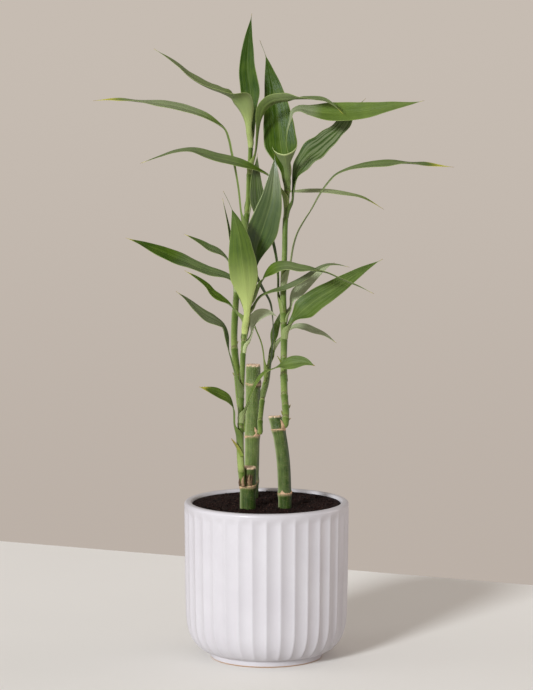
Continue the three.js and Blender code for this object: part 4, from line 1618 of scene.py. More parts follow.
@dataclass(frozen=True)
class Pot:
    """The round pot with scooped flutes between a smooth rim and a smooth foot."""

    height: float = 120
    rim_radius: float = 62.5
    inner_radius: float = 56.5
    inner_top: float = 117.2
    floor: float = 9
    wall_foot: float = 31
    wall_taper: float = 1.4
    wall_step: float = 9
    curve_step: float = 1.25
    lip_rounding: float = 2.1
    rim_rounding: float = 2.4
    foot_radius: float = 42.5
    foot_height: float = 5
    flutes: int = 36
    steps_per_flute: int = 14
    flute_depth: float = 1.3
    flute_top: float = 117.5
    top_fade: float = 7
    end_arch: float = 4
    rounding_steps: int = 8

    def outer_radius(self, height: float) -> float:
        """Finds the radius of the ridges.

        Args:
            height: Height over the table.

        Returns:
            The radius there.
        """
        bottom = self.rim_radius - self.wall_taper
        if height >= self.wall_foot:
            rise = (height - self.wall_foot) / (self.height - self.wall_foot)
            return bottom + (self.rim_radius - bottom) * math.sqrt(rise)
        drop = min(1.0, (self.wall_foot - height) / (self.wall_foot - self.foot_height))
        reach = bottom - self.foot_radius + 1.2
        return bottom - reach * (1 - math.sqrt(1 - 0.985 * drop * drop))

    def flute_cut(self, height: float, across: float) -> float:
        """Finds the depth of a flute.

        Args:
            height: Height over the table.
            across: From -1 to 1 between two ridges.

        Returns:
            The depth there.
        """
        from_end = min(1.0, (height - self.foot_height - 0.6) / self.end_arch)
        narrowing = self.outer_radius(height) / self.rim_radius
        fade = ramp(self.flute_top - height, 0, self.top_fade)
        scoop = max(0.0, 1 - across**2 - (1 - from_end) ** 2)
        return self.flute_depth * narrowing * fade * scoop

    def fluted_heights(self) -> list[float]:
        """Lists the heights of the fluted loops, from the top down."""
        full = self.flute_top - self.top_fade
        top = [self.flute_top - self.top_fade * i / 10 for i in range(11)]
        wall = [full - 6 - self.wall_step * i for i in range(9)]
        curve = [self.wall_foot - 1 - self.curve_step * i for i in range(20)]
        lowest = self.foot_height + 0.55
        return top + [z for z in wall if z > self.wall_foot] + [z for z in curve if z > lowest]

    def inside_and_rim(self) -> list[Pair]:
        """Lists the radius and height of the plain loops from the floor's middle over the rim."""
        inside, floor, lip, rim = self.inner_radius, self.floor, self.lip_rounding, self.rim_rounding
        profile = [
            (0.5, floor), (inside - 22, floor), (inside - 9, floor + 8), (inside - 1.6, floor + 17),
            (inside, floor + 26), (inside, self.inner_top),
        ]
        reach = inside + lip
        for step in range(self.rounding_steps + 1):
            turn = math.pi * (1 - step / (2 * self.rounding_steps))
            profile.append((reach + lip * math.cos(turn), self.height - lip + lip * math.sin(turn)))
        reach = self.rim_radius - rim
        for step in range(1, self.rounding_steps + 1):
            turn = math.pi / 2 * (1 - step / self.rounding_steps)
            profile.append((reach + rim * math.cos(turn), self.height - rim + rim * math.sin(turn)))
        return profile

    def foot_ring(self) -> list[Pair]:
        """Lists the radius and height of the plain loops from the wall to the underside's middle."""
        foot = self.foot_radius
        return [
            (foot + 1.4, 5.3), (foot + 0.45, 4.6), (foot, 3.6), (foot, 0.9), (foot - 0.3, 0.3),
            (foot - 0.9, 0.0), (foot - 7, 0.0), (0.5, 0.0),
        ]

    def loop(self, draft: MeshDraft, height: float, radius: Optional[float] = None) -> list[int]:
        """Adds one loop of vertices.

        Args:
            draft: Takes the vertices.
            height: Height of the loop.
            radius: Radius of a plain loop. A fluted loop has none.

        Returns:
            The loop.
        """
        row = []
        around = self.flutes * self.steps_per_flute
        for j in range(around):
            across = 2 * (j % self.steps_per_flute) / self.steps_per_flute - 1
            reach = radius
            if radius is None:
                reach = self.outer_radius(height) - self.flute_cut(height, across)
            row.append(draft.add(on_circle(2 * math.pi * j / around, reach, height)))
        return row

    def build(self, palette: Palette) -> None:
        """Builds the pot.

        Args:
            palette: The materials.
        """
        draft = MeshDraft()
        rows = [self.loop(draft, height, radius) for radius, height in self.inside_and_rim()]
        rows += [self.loop(draft, height) for height in self.fluted_heights()]
        rows += [self.loop(draft, height, radius) for radius, height in self.foot_ring()]
        draft.quads([list(reversed(row)) for row in rows], closed=True)
        draft.faces.append(tuple(rows[0]))
        draft.faces.append(tuple(reversed(rows[-1])))
        settle(draft.build("pot_glazed", palette.pot), "pot", "pot")


@dataclass(frozen=True)
class Soil:
    """Uneven soil with crumbs, filled to just under the rim."""

    top: float = 118.3
    radius: float = 56.4
    bottom: float = 9.6
    rings: int = 70
    sides: int = 168
    edge_width: float = 6
    edge_drop: float = 0.45
    edge_calm: float = 0.85
    crumbs: int = 1500
    crumb_sides: int = 6
    crumb_loops: int = 3
    crumb_margin: float = 3.5
    seed: int = 7

    # Least and most stretch of a crumb in its three directions
    CRUMB_STRETCH = ((0.7, 1.5), (0.6, 1.1), (0.5, 0.9))
    CRUMB_LUMPS = 0.22

    def level(self, x: float, y: float) -> float:
        """Finds the height of the surface.

        Args:
            x: Place to the right.
            y: Place to the back.

        Returns:
            Its height over the table.
        """
        broad = noise.noise(Vector((x * 0.05, y * 0.05, 3.0)))
        lumps = noise.noise(Vector((x * 0.22, y * 0.22, 1.0)))
        grains = noise.noise(Vector((x * 0.8, y * 0.8, 5.0)))
        edge = ramp(math.hypot(x, y), self.radius - self.edge_width, self.radius)
        uneven = 0.35 * broad + 0.4 * lumps + 0.3 * grains
        return self.top + uneven * (1 - self.edge_calm * edge) - self.edge_drop * edge

    def surface_point(self, reach: float, turn: float) -> Vector:
        """Finds a point of the surface."""
        x, y = reach * math.cos(turn), reach * math.sin(turn)
        return Vector((x, y, self.level(x, y)))

    def build(self, palette: Palette) -> None:
        """Builds the soil and its crumbs as one piece.

        Args:
            palette: The materials.
        """
        draft = MeshDraft()
        turns = [2 * math.pi * j / self.sides for j in range(self.sides)]
        rows = []
        for i in range(1, self.rings + 1):
            reach = self.radius * i / self.rings
            rows.append([draft.add(self.surface_point(reach, turn)) for turn in turns])
        draft.fan(draft.add(self.surface_point(0, 0)), rows[0])
        draft.quads([list(reversed(row)) for row in rows], closed=True)
        under = [rows[-1]]
        for inset, height in ((0, 36.0), (9, 17.5), (22, self.bottom)):
            reach = self.radius - inset
            under.append([draft.add(on_circle(turn, reach, height)) for turn in turns])
        draft.quads([list(reversed(row)) for row in under], closed=True)
        draft.fan(draft.add(UP * self.bottom), under[-1], flipped=True)
        chance = random.Random(self.seed)
        for _ in range(self.crumbs):
            self.add_crumb(draft, chance)
        settle(draft.build("soil_surface", palette.soil), "soil", "soil")

    def add_crumb(self, draft: MeshDraft, chance: random.Random) -> None:
        """Adds one crumb, a squashed uneven lump.

        Args:
            draft: Takes the vertices and faces.
            chance: Draws its place, size and shape.
        """
        reach = (self.radius - self.crumb_margin) * math.sqrt(chance.random())
        turn = chance.uniform(0, 2 * math.pi)
        size = 0.28 + 0.75 * chance.random() ** 3
        x, y = reach * math.cos(turn), reach * math.sin(turn)
        middle = Vector((x, y, self.level(x, y) + size * 0.15))
        spin = Euler([chance.uniform(0, 6.3) for _ in range(3)])
        stretch = Vector([chance.uniform(*span) for span in self.CRUMB_STRETCH])
        rows = []
        for k in range(1, self.crumb_loops + 1):
            tilt = math.pi * k / (self.crumb_loops + 1)
            row = []
            for j in range(self.crumb_sides):
                out = on_circle(2 * math.pi * j / self.crumb_sides, math.sin(tilt), math.cos(tilt))
                lump = size * (1 + chance.uniform(-self.CRUMB_LUMPS, self.CRUMB_LUMPS))
                local = Vector((out.x * stretch.x, out.y * stretch.y, out.z * stretch.z)) * lump
                local.rotate(spin)
                row.append(draft.add(middle + local))
            rows.append(row)
        poles = []
        for height in (size * stretch.z, -size * stretch.z):
            local = UP * height
            local.rotate(spin)
            poles.append(draft.add(middle + local))
        draft.quads([list(reversed(row)) for row in rows], closed=True)
        draft.fan(poles[0], rows[0])
        draft.fan(poles[1], rows[-1], flipped=True)


CANES = (
    Cane(
        place="left", radius=6, rings=(135,), tone=0.28,
        line=((-14, -24, 52), (-14, -24, 110), (-14, -24, 135), (-13.8, -24, 150)),
        collars=(
            Collar(
                height=135, lift=0.9, slope=-1.0,
                peaks=(Peak(turn=110, height=1.6, half=40), Peak(turn=20, height=1.2, half=40)),
            ),
        ),
        husks=(HuskPatch(low=137, high=146, heading=250, half=70),),
    ),
    Cane(
        place="middle", radius=5.6, rings=(131, 166, 206), tone=0.54,
        line=((-13, 26, 52), (-12, 27, 110), (-10.8, 27, 166), (-10.2, 27, 206), (-10.2, 27, 221)),
        collars=(
            Collar(height=165.5, lift=1.0, slope=-0.8, peaks=(Peak(turn=-60, height=3.2, half=26),)),
            Collar(height=205.5, lift=0.5, slope=1.2, covered=(170, 280)),
        ),
        husks=(HuskPatch(low=203.5, high=211, heading=-38, half=42),),
    ),
    Cane(
        place="right", radius=5, rings=(129, 178), tone=0.22, cut_slope=0.9,
        line=((13.5, -22, 50), (13.9, -22, 112), (13.7, -22, 131), (11.8, -21.5, 161), (8.9, -21, 178),
            (6.2, -20, 188)),
        collars=(
            Collar(height=177.5, lift=1.0, slope=0.9),
            Collar(
                height=129, lift=1.0,
                peaks=(Peak(turn=-110, height=2.6, half=26), Peak(turn=-20, height=2.0, half=30)),
            ),
        ),
    ),
)

# The leaves of each shoot. Angles are in degrees. The widest place, neck_end and the first number
# of each pair in roll, folds and greys are shares of the leaf's length
LEFT_LEAVES = (
    LeafForm(
        start=147, clasp=27, heading=195, spread=190, width=9, widest=0.8, neck=1.8, fold=16, lean=-14,
        roll=((0.5, 0), (0.75, -50), (1, -35)),
        rib=((-24.2, -34.5, 183), (-25.2, -36, 197), (-28.4, -38, 203), (-35, -40, 207), (-42, -42, 210),
            (-50, -44, 213)),
        tone=0.38, yellow=0.12, pale=0.2, wave=0.3, bleach=0.5,
    ),
    LeafForm(
        start=184, clasp=4, heading=-30, spread=0, width=12, widest=0.8, neck=1.7, neck_end=0.6, lean=-8,
        roll=((0, 0), (0.3, 55), (0.45, 55), (0.62, 4), (0.75, 50), (1, 50)),
        rib=((-14, -34, 198), (-9.4, -35, 211), (-5.6, -35, 218), (-1, -35, 223), (4, -35, 225),
            (12, -35, 228), (21, -36, 230), (29, -37, 230.5), (36, -38, 228)),
        tone=0.4, pale=0.12, wave=0.4, greys_and_sheen=((0, 0.3), (0.4, 0.1), (1, 0.25)),
    ),
    LeafForm(
        start=203, clasp=5, heading=205, spread=195, width=13, widest=0.6, neck=1.7, neck_end=0.3,
        lean=-18, roll=((0.25, 0), (0.46, -36), (0.56, -22), (0.74, -44), (1, -30)),
        rib=((-22.4, -33, 217), (-25.6, -33, 229), (-28.4, -34, 240), (-30.2, -35, 250),
            (-33, -35, 257.4), (-38, -36, 261), (-44.6, -37, 264.4), (-52, -38, 271), (-59.6, -39, 278),
            (-67, -41, 284)),
        tone=0.14, yellow=0.06, pale=0.2, wave=0.4, greys_and_sheen=((0.48, 0), (0.6, 0.6), (0.8, 0.55), (1, 0.3)),
        striped=0.5, bleach=0.15,
    ),
    # Painted light: this pale grey-green leaf sits in shade, and its raised pale and bleach paint it as
    # brightly lit
    LeafForm(
        start=236, clasp=4.5, heading=25, spread=10, width=10, widest=0.62, neck=1.8, fold=30, lean=6,
        roll=((0.3, 0), (0.6, 50), (1, 40)),
        rib=((-12.8, -23.6, 244), (-10.6, -21.6, 251), (-9, -20, 259), (-6.5, -18, 263), (-2, -16, 265),
            (4, -14, 264.5), (8, -13, 262)),
        tone=0.5, pale=1.5, greys_and_sheen=((0.1, 0.5), (0.3, 1), (1, 1)), bleach=0.75,
    ),
    LeafForm(
        start=244.6, clasp=3.4, heading=75, spread=185, width=13, widest=0.72, neck=1.7, fold=12, lean=26,
        roll=((0.3, 0), (0.5, -30), (0.75, -45), (1, -30)),
        rib=((-13.6, -20.5, 260), (-16, -19.5, 270), (-19, -18.5, 278), (-22, -18, 285),
            (-24.5, -17, 289.5), (-31, -16, 293), (-45, -15, 297), (-62, -15, 304), (-80, -17, 312),
            (-105, -20, 322)),
        tone=0.16, yellow=0.06, wave=0.4, greys_and_sheen=((0.4, 0.3), (0.62, 0.3), (0.75, 0)), bleach=0.1,
    ),
    LeafForm(
        start=250.5, clasp=3.5, heading=-90, spread=-90, width=21.4, widest=0.44, neck=2.4, tail=0.25,
        rib=((-15.4, -31.8, 259), (-14.6, -33.6, 268), (-15, -35, 280), (-16.8, -37, 296),
            (-18.6, -39, 311), (-20, -40, 323), (-23, -40, 337), (-27, -38, 348), (-32, -36, 358)),
        tone=0.26, pale=0.4, wave=0.25, under=0.12, bleach=1,
    ),
    LeafForm(
        start=257, clasp=2.4, heading=200, spread=185, width=8.5, widest=0.5, neck=1.6, lean=16,
        roll=((0.2, 0), (0.4, -35), (1, -30)),
        rib=((-22.2, -27.4, 266), (-26, -26.4, 271), (-33, -24, 276), (-40, -24, 281), (-44, -24, 286),
            (-50, -24, 291), (-56, -25, 295), (-61, -26, 298)),
        tone=0.3, yellow=0.14, bleach=0.3,
    ),
    LeafForm(
        start=261.3, clasp=2.4, heading=42, spread=0, width=9, widest=0.5, neck=1.6, lean=4,
        roll=((0.2, 0), (0.45, 22), (1, 20)),
        rib=((-9.8, -21.4, 269), (-7.8, -22.4, 273.6), (-4.6, -24, 278), (3, -26.5, 281.8),
            (14, -28.5, 285), (22, -28, 288.6), (31, -25, 294), (38, -24, 299), (46, -23, 302),
            (53, -22, 302), (62, -21, 300)),
        tone=0.2, yellow=0.04, greys_and_sheen=((0.3, 0.2), (0.5, 0.6), (1, 0.6)),
    ),
    LeafForm(
        start=267.2, clasp=2.4, heading=-70, spread=0, width=12.5, widest=0.36, neck=2.2, lean=-24,
        roll=((0.15, 0), (0.35, 32), (0.5, 25), (0.66, -3), (0.85, -22), (1, -22)),
        rib=((-9.4, -28.6, 277), (-5.2, -29.8, 287), (0, -31, 295), (7, -32, 300.5), (15, -33, 302),
            (25, -34, 300), (35, -34, 299), (45, -33, 297), (56, -32, 292), (68, -31, 287),
            (80, -30, 281)),
        tone=0.32, yellow=0.05, wave=0.3, greys_and_sheen=((0.3, 0), (0.45, 0.45), (0.7, 0.2), (1, 0.4)),
    ),
)

MIDDLE_LEAVES = (
    # The grey streaks towards this leaf's tip are a painted sheen
    LeafForm(
        start=197, clasp=4, heading=-40, spread=90, width=23, widest=0.7, neck=1.3, fold=16,
        neck_end=0.53,
        rib=((1.6, 11.2, 210), (3, 7, 222), (4.6, 4, 238), (5, 1, 256), (3, -3, 272), (-3.4, -8, 284),
            (-8.6, -12, 296), (-7.6, -16, 312), (-1.6, -20, 332), (3.4, -22, 350), (5.4, -22, 369),
            (6.4, -20, 385)),
        tone=0.02, yellow=0.01, pale=0.12, greys_and_sheen=((0.62, 0), (0.8, 0.14), (0.9, 0.45), (1, 0.3)),
        striped=0.45, gloss=0.75, under=0.05, bleach=0.2,
    ),
    LeafForm(
        start=213, clasp=3.5, heading=190, spread=180, width=6.5, widest=0.6, neck=1.4, fold=20, lean=8,
        roll=((0.2, 0), (0.5, -28), (1, -25)),
        rib=((-4, 10, 239), (-9, 8, 252), (-17, 6, 273), (-24.5, 4, 303), (-29, 2, 330), (-33, 0, 350)),
        tone=0.3, yellow=0.03, pale=0.2, under=0.1,
    ),
    LeafForm(
        start=226, clasp=3.5, heading=95, spread=60, width=7, widest=0.5, neck=1.4, fold=24, lean=8,
        rib=((4.6, 15, 237), (7, 15.5, 249), (10, 14.5, 258), (13, 13, 267)), tone=0.34, yellow=0.03,
        pale=0.3, greys_and_sheen=((0.5, 0), (1, 0.4)),
    ),
    LeafForm(
        start=234, clasp=3.5, heading=0, spread=0, width=8, widest=0.55, neck=1.4, fold=20, lean=14,
        roll=((0.2, 0), (0.45, 35), (1, 30)),
        rib=((13, 7, 245), (17, 6, 249.5), (21, 5.5, 252), (28, 5, 252), (36, 5, 249.5), (43, 5, 247),
            (53, 5, 240)),
        tone=0.45, yellow=0.06, pale=0.8, greys_and_sheen=((0.2, 0.5), (0.5, 1), (1, 1)), bleach=0.3,
    ),
)

BACK_LEAVES = (
    LeafForm(
        start=278, clasp=5, heading=190, spread=185, width=9, widest=0.6, neck=1.6, fold=16, lean=18,
        roll=((0.3, 0), (0.6, -32), (1, -25)),
        rib=((-27, 12, 297), (-30.5, 10, 304), (-35, 8, 308), (-44, 6, 312.5), (-49, 4, 316),
            (-56, 3, 320), (-62, 2, 323)),
        tone=0.24, yellow=0.1, pale=0.2, greys_and_sheen=((0.2, 0.4), (0.5, 0.4), (1, 0)),
    ),
    LeafForm(
        start=322, clasp=6, heading=195, spread=180, width=11, widest=0.68, neck=1.7, lean=34,
        roll=((0.4, 0), (0.55, -28), (0.7, -28), (0.82, -6), (0.9, -25), (1, -20)),
        rib=((-20, 7, 343), (-21.6, 6, 358), (-24, 5, 372), (-26.6, 4, 384), (-28.6, 3.5, 394),
            (-31.4, 3, 401.6), (-37, 3, 406), (-45, 3, 411), (-58, 3, 416), (-74, 3, 420), (-92, 3, 422),
            (-117, 3, 424), (-130, 3, 423)),
        tone=0.5, yellow=0.16, pale=0.2, greys_and_sheen=((0.45, 0), (0.6, 0.7), (0.8, 0.8), (0.92, 0.2)),
        bleach=0.1,
    ),
    LeafForm(
        start=338, clasp=5, heading=70, spread=0, width=8, widest=0.62, neck=1.6, lean=14,
        roll=((0.3, 0), (0.5, 20), (1, 18)),
        rib=((-9, 15.5, 351), (3, 19, 354.5), (20, 20, 353.6), (39, 21, 354), (53, 22, 353),
            (63, 23, 351.5), (73, 23, 349), (80, 24, 345.5), (89, 24, 340)),
        tone=0.55, yellow=0.14, pale=0.8, greys_and_sheen=((0.2, 0.6), (0.6, 0.6), (1, 0)), bleach=0.5,
    ),
    LeafForm(
        start=368, clasp=5, heading=-25, spread=0, width=14, widest=0.55, neck=1.7, fold=26,
        roll=((0.25, 0), (0.45, -40), (0.6, -34), (0.72, 4), (0.85, 26), (1, 20)),
        rib=((-7.6, 0, 386), (-6, -3, 400), (-4.4, -6, 411), (-2, -9, 418), (3.4, -12, 422.8),
            (12, -16, 424.8), (24, -19, 425.4), (34, -21, 425.4), (43, -22, 424.4), (50, -24, 420.5),
            (57, -25, 414)),
        tone=0.42, yellow=0.06, greys_and_sheen=((0.4, 0), (0.6, 0.35), (0.8, 0.5), (1, 0.5)),
    ),
    LeafForm(
        start=388, clasp=3.5, heading=-110, spread=180, width=26, widest=0.34, neck=3.4, lean=-18,
        folds=((0.3, 85), (0.47, 26), (1, 14)),
        roll=((0, 0), (0.12, 10), (0.32, 38), (0.42, 0), (0.5, -6), (0.75, -12), (1, -14)),
        rib=((-13.6, -4.6, 400), (-15.6, -7, 410), (-19.6, -9, 418.5), (-26, -10, 425.5),
            (-33.5, -10.5, 429.6), (-42, -10.5, 432.8), (-49, -10, 436.2), (-58, -9, 442.4),
            (-66, -7, 450), (-73, -6, 455), (-84, -5, 462)),
        tone=0.58, yellow=0.03, pale=0.28, wave=0.3,
        greys_and_sheen=((0.2, 0.1), (0.34, 0.25), (0.5, 0.5), (1, 0.5)), bleach=0.7,
    ),
    LeafForm(
        start=394, clasp=4, heading=80, spread=75, width=15, widest=0.4, neck=3.4, fold=24, lean=6,
        roll=((0, 0), (1, 14)),
        rib=((-11, 4, 412), (-12, 5, 430), (-14.2, 5, 446), (-13.8, 4, 465), (-11, 2, 488)), tone=0.1,
        pale=0.08, greys_and_sheen=((0, 0.2), (0.35, 0)), under=0.1, bleach=0.2,
    ),
)

RIGHT_LEAVES = (
    LeafForm(
        start=246, clasp=4.5, heading=-20, spread=0, width=18, widest=0.28, neck=3.2, fold=12, lean=14,
        roll=((0.05, 0), (0.18, 60), (0.4, 72), (0.8, 76), (1, 70)),
        rib=((17.8, -23, 255), (19.8, -23, 260), (25.4, -22.5, 266), (36, -22, 275), (48.6, -22, 283),
            (61, -21, 291), (72, -20, 298), (87, -18, 306)),
        tone=0.3, yellow=0.04, pale=0.12, greys_and_sheen=((0, 0.15), (1, 0.15)), striped=0.6,
    ),
    LeafForm(
        start=258, clasp=3, heading=55, spread=10, width=11, widest=0.4, neck=1.6, fold=18, lean=12,
        roll=((0.2, 0), (0.4, 45), (1, 35)),
        rib=((18, -14.4, 268), (20, -12.6, 275), (24.6, -12, 281.4), (32, -11, 288.4), (40, -8, 295),
            (46.6, -5.5, 299.6), (51, -4, 302)),
        tone=0.4, yellow=0.03, pale=1.2, wave=0.3, greys_and_sheen=((0, 0.4), (0.4, 1), (1, 1)), bleach=0.4,
    ),
    LeafForm(
        start=265.2, clasp=4.5, heading=150, spread=115, width=13, widest=0.7, neck=1.4, fold=16,
        neck_end=0.45, lean=4,
        rib=((8.6, -15, 278), (8.4, -11, 292), (6.8, -8, 308), (3.6, -6, 322), (-2, -5, 334),
            (-6.4, -5, 347), (-8, -5, 364), (-6.8, -6, 384)),
        tone=0.14, wave=0.3, greys_and_sheen=((0.4, 0), (0.55, 0.3), (1, 0.4)), striped=0.6, under=0.2,
    ),
    LeafForm(
        start=285, clasp=5, heading=-20, spread=0, width=12, widest=0.76, neck=1.7, neck_end=0.5,
        lean=-26, roll=((0.25, 0), (0.45, 20), (0.7, 26), (0.82, 2), (0.9, 22), (1, 16)),
        rib=((18.4, -20, 304), (20.4, -21.5, 316), (23.4, -22.5, 326), (28, -22, 334.5), (34, -21, 344),
            (39.8, -19, 354.2), (45.6, -17, 362.4), (51.8, -15, 368.8), (60, -13, 372.4),
            (70, -11, 374.6), (90, -9, 376.6), (105, -9, 377), (117, -9, 376), (140, -9, 374)),
        tone=0.3, yellow=0.14, greys_and_sheen=((0, 0.5), (0.5, 0.45), (0.85, 0.3), (0.95, 0)),
    ),
    # The grey stripes along this grey-green blade are painted streaks of sheen
    LeafForm(
        start=336, clasp=5, heading=5, spread=0, width=18.5, widest=0.5, neck=2.6, fold=16, neck_end=0.22,
        lean=22, roll=((0.12, 0), (0.36, 58), (1, 60)),
        rib=((19.6, -11.6, 347), (20.6, -10.6, 356), (23, -10, 370), (30.8, -9, 382), (41.8, -8, 391),
            (53, -7, 401), (62, -6, 413), (74, -5, 425)),
        tone=0.06, yellow=0.03, pale=0.1, wave=1.2,
        greys_and_sheen=((0.24, 0), (0.4, 0.4), (0.65, 0.6), (0.85, 0.3), (1, 0.2)), striped=0.85, under=0.15,
        bleach=0.1,
    ),
    LeafForm(
        start=344, clasp=4.5, heading=205, spread=180, width=13, widest=0.5, neck=1.7, lean=-16,
        roll=((0.15, 0), (0.35, -30), (0.6, -26), (0.8, -12), (1, -20)),
        rib=((8.4, -14, 361), (2, -13.5, 367.5), (-7, -12.5, 372), (-16, -12, 375.5), (-26, -11, 378.5),
            (-36, -11, 381), (-46, -11, 384), (-57, -11, 386.5), (-68, -11, 385.5), (-80, -11, 382),
            (-94, -11, 377)),
        tone=0.34, yellow=0.05, wave=0.3, greys_and_sheen=((0.3, 0), (0.5, 0.4), (0.8, 0.5), (1, 0)),
    ),
    LeafForm(
        start=353.4, clasp=3, heading=95, spread=90, width=25, widest=0.34, neck=2.8, fold=16, tail=0.16,
        lean=12,
        rib=((13.6, -4, 368), (12, 1, 380), (10.2, 5, 394), (8.6, 8, 409), (6, 10, 427), (2.8, 11, 442),
            (-0.2, 10, 455), (-5, 8, 468)),
        tone=0.16, pale=0.12, under=0.12,
    ),
    LeafForm(
        start=358.5, clasp=3, heading=-90, spread=-90, width=27, widest=1, neck=3, folds=((1, 84),),
        rib=((15.6, -15.6, 366), (15, -17.6, 373), (14.2, -21.4, 379.6), (13.4, -27, 384.8)), tone=0.36,
        pale=0.2, greys_and_sheen=((0, 0.1), (1, 0.35)),
    ),
    LeafForm(
        start=365, clasp=3.5, heading=15, spread=0, width=17.6, widest=0.55, neck=1, fold=18,
        neck_end=0.28, lean=12, roll=((0.15, 0), (0.33, 42), (0.7, 56), (1, 45)),
        rib=((16.8, -11.4, 382), (15, -12.6, 392), (15.6, -14, 401), (18, -15.2, 410),
            (19.6, -15.8, 415.8), (24, -16.4, 417.8), (32, -17.5, 416.4), (43, -19, 415.2),
            (58, -20, 415.2), (77, -21, 417), (95, -21, 420), (108, -20, 422), (117, -20, 424)),
        tone=0.46, yellow=0.03, pale=0.12,
        greys_and_sheen=((0.2, 0.1), (0.28, 1), (0.42, 0.8), (0.5, 0.1), (1, 0.25)),
    ),
)

SHOOTS = (
    Shoot(
        place="left",
        line=((-18.2, -32, 137), (-18.8, -32, 150), (-19.4, -31.5, 171), (-19.4, -31, 180),
            (-19, -30, 201), (-18, -28.5, 224), (-17, -27, 246), (-15.4, -26, 261), (-14.3, -25, 271)),
        base=2.4, tip=1.5, nodes=(179, 207, 236), ring=(-14, -24, 136),
        leaves=LEFT_LEAVES,
    ),
    Shoot(
        place="middle",
        line=((-4.6, 20.4, 168), (-4.9, 19.8, 178), (-4.2, 19, 186), (-3.2, 18, 195), (-2.4, 17, 202),
            (-0.7, 15, 210), (0.8, 13.5, 218), (2.2, 12, 224), (5, 10, 234), (7.2, 8.5, 241)),
        base=2, tip=1.2, nodes=(178, 194, 208, 220), ring=(-10.8, 27, 166.6),
        leaves=MIDDLE_LEAVES,
    ),
    Shoot(
        place="back",
        line=((-15.6, 33.6, 168), (-18, 34, 177), (-20, 33, 188), (-22, 30, 210), (-24.6, 25, 236),
            (-23.7, 20, 264), (-21.6, 15, 287), (-18.6, 11, 310), (-15.2, 8, 333), (-13.8, 6, 348),
            (-13.1, 4, 367), (-12, 2, 386), (-11.3, 1, 400)),
        base=2.7, tip=1.5, nodes=(211, 233, 262, 300), ring=(-10.8, 27, 166.6),
        leaves=BACK_LEAVES,
    ),
    Shoot(
        place="right",
        line=((13.9, -26.5, 180), (14.4, -26.5, 192), (13.4, -25.5, 204), (13, -24.5, 219),
            (12.9, -23, 231), (13.1, -21.7, 245), (12.7, -20, 268), (12.5, -18, 285), (13.6, -16, 312),
            (13.9, -14, 330), (15.1, -12, 347), (15.8, -10.5, 361), (16, -10, 370)),
        base=2.6, tip=1.5, nodes=(187, 196, 204, 219, 231, 256), ring=(8.8, -20.9, 178.6),
        leaves=RIGHT_LEAVES,
    ),
)


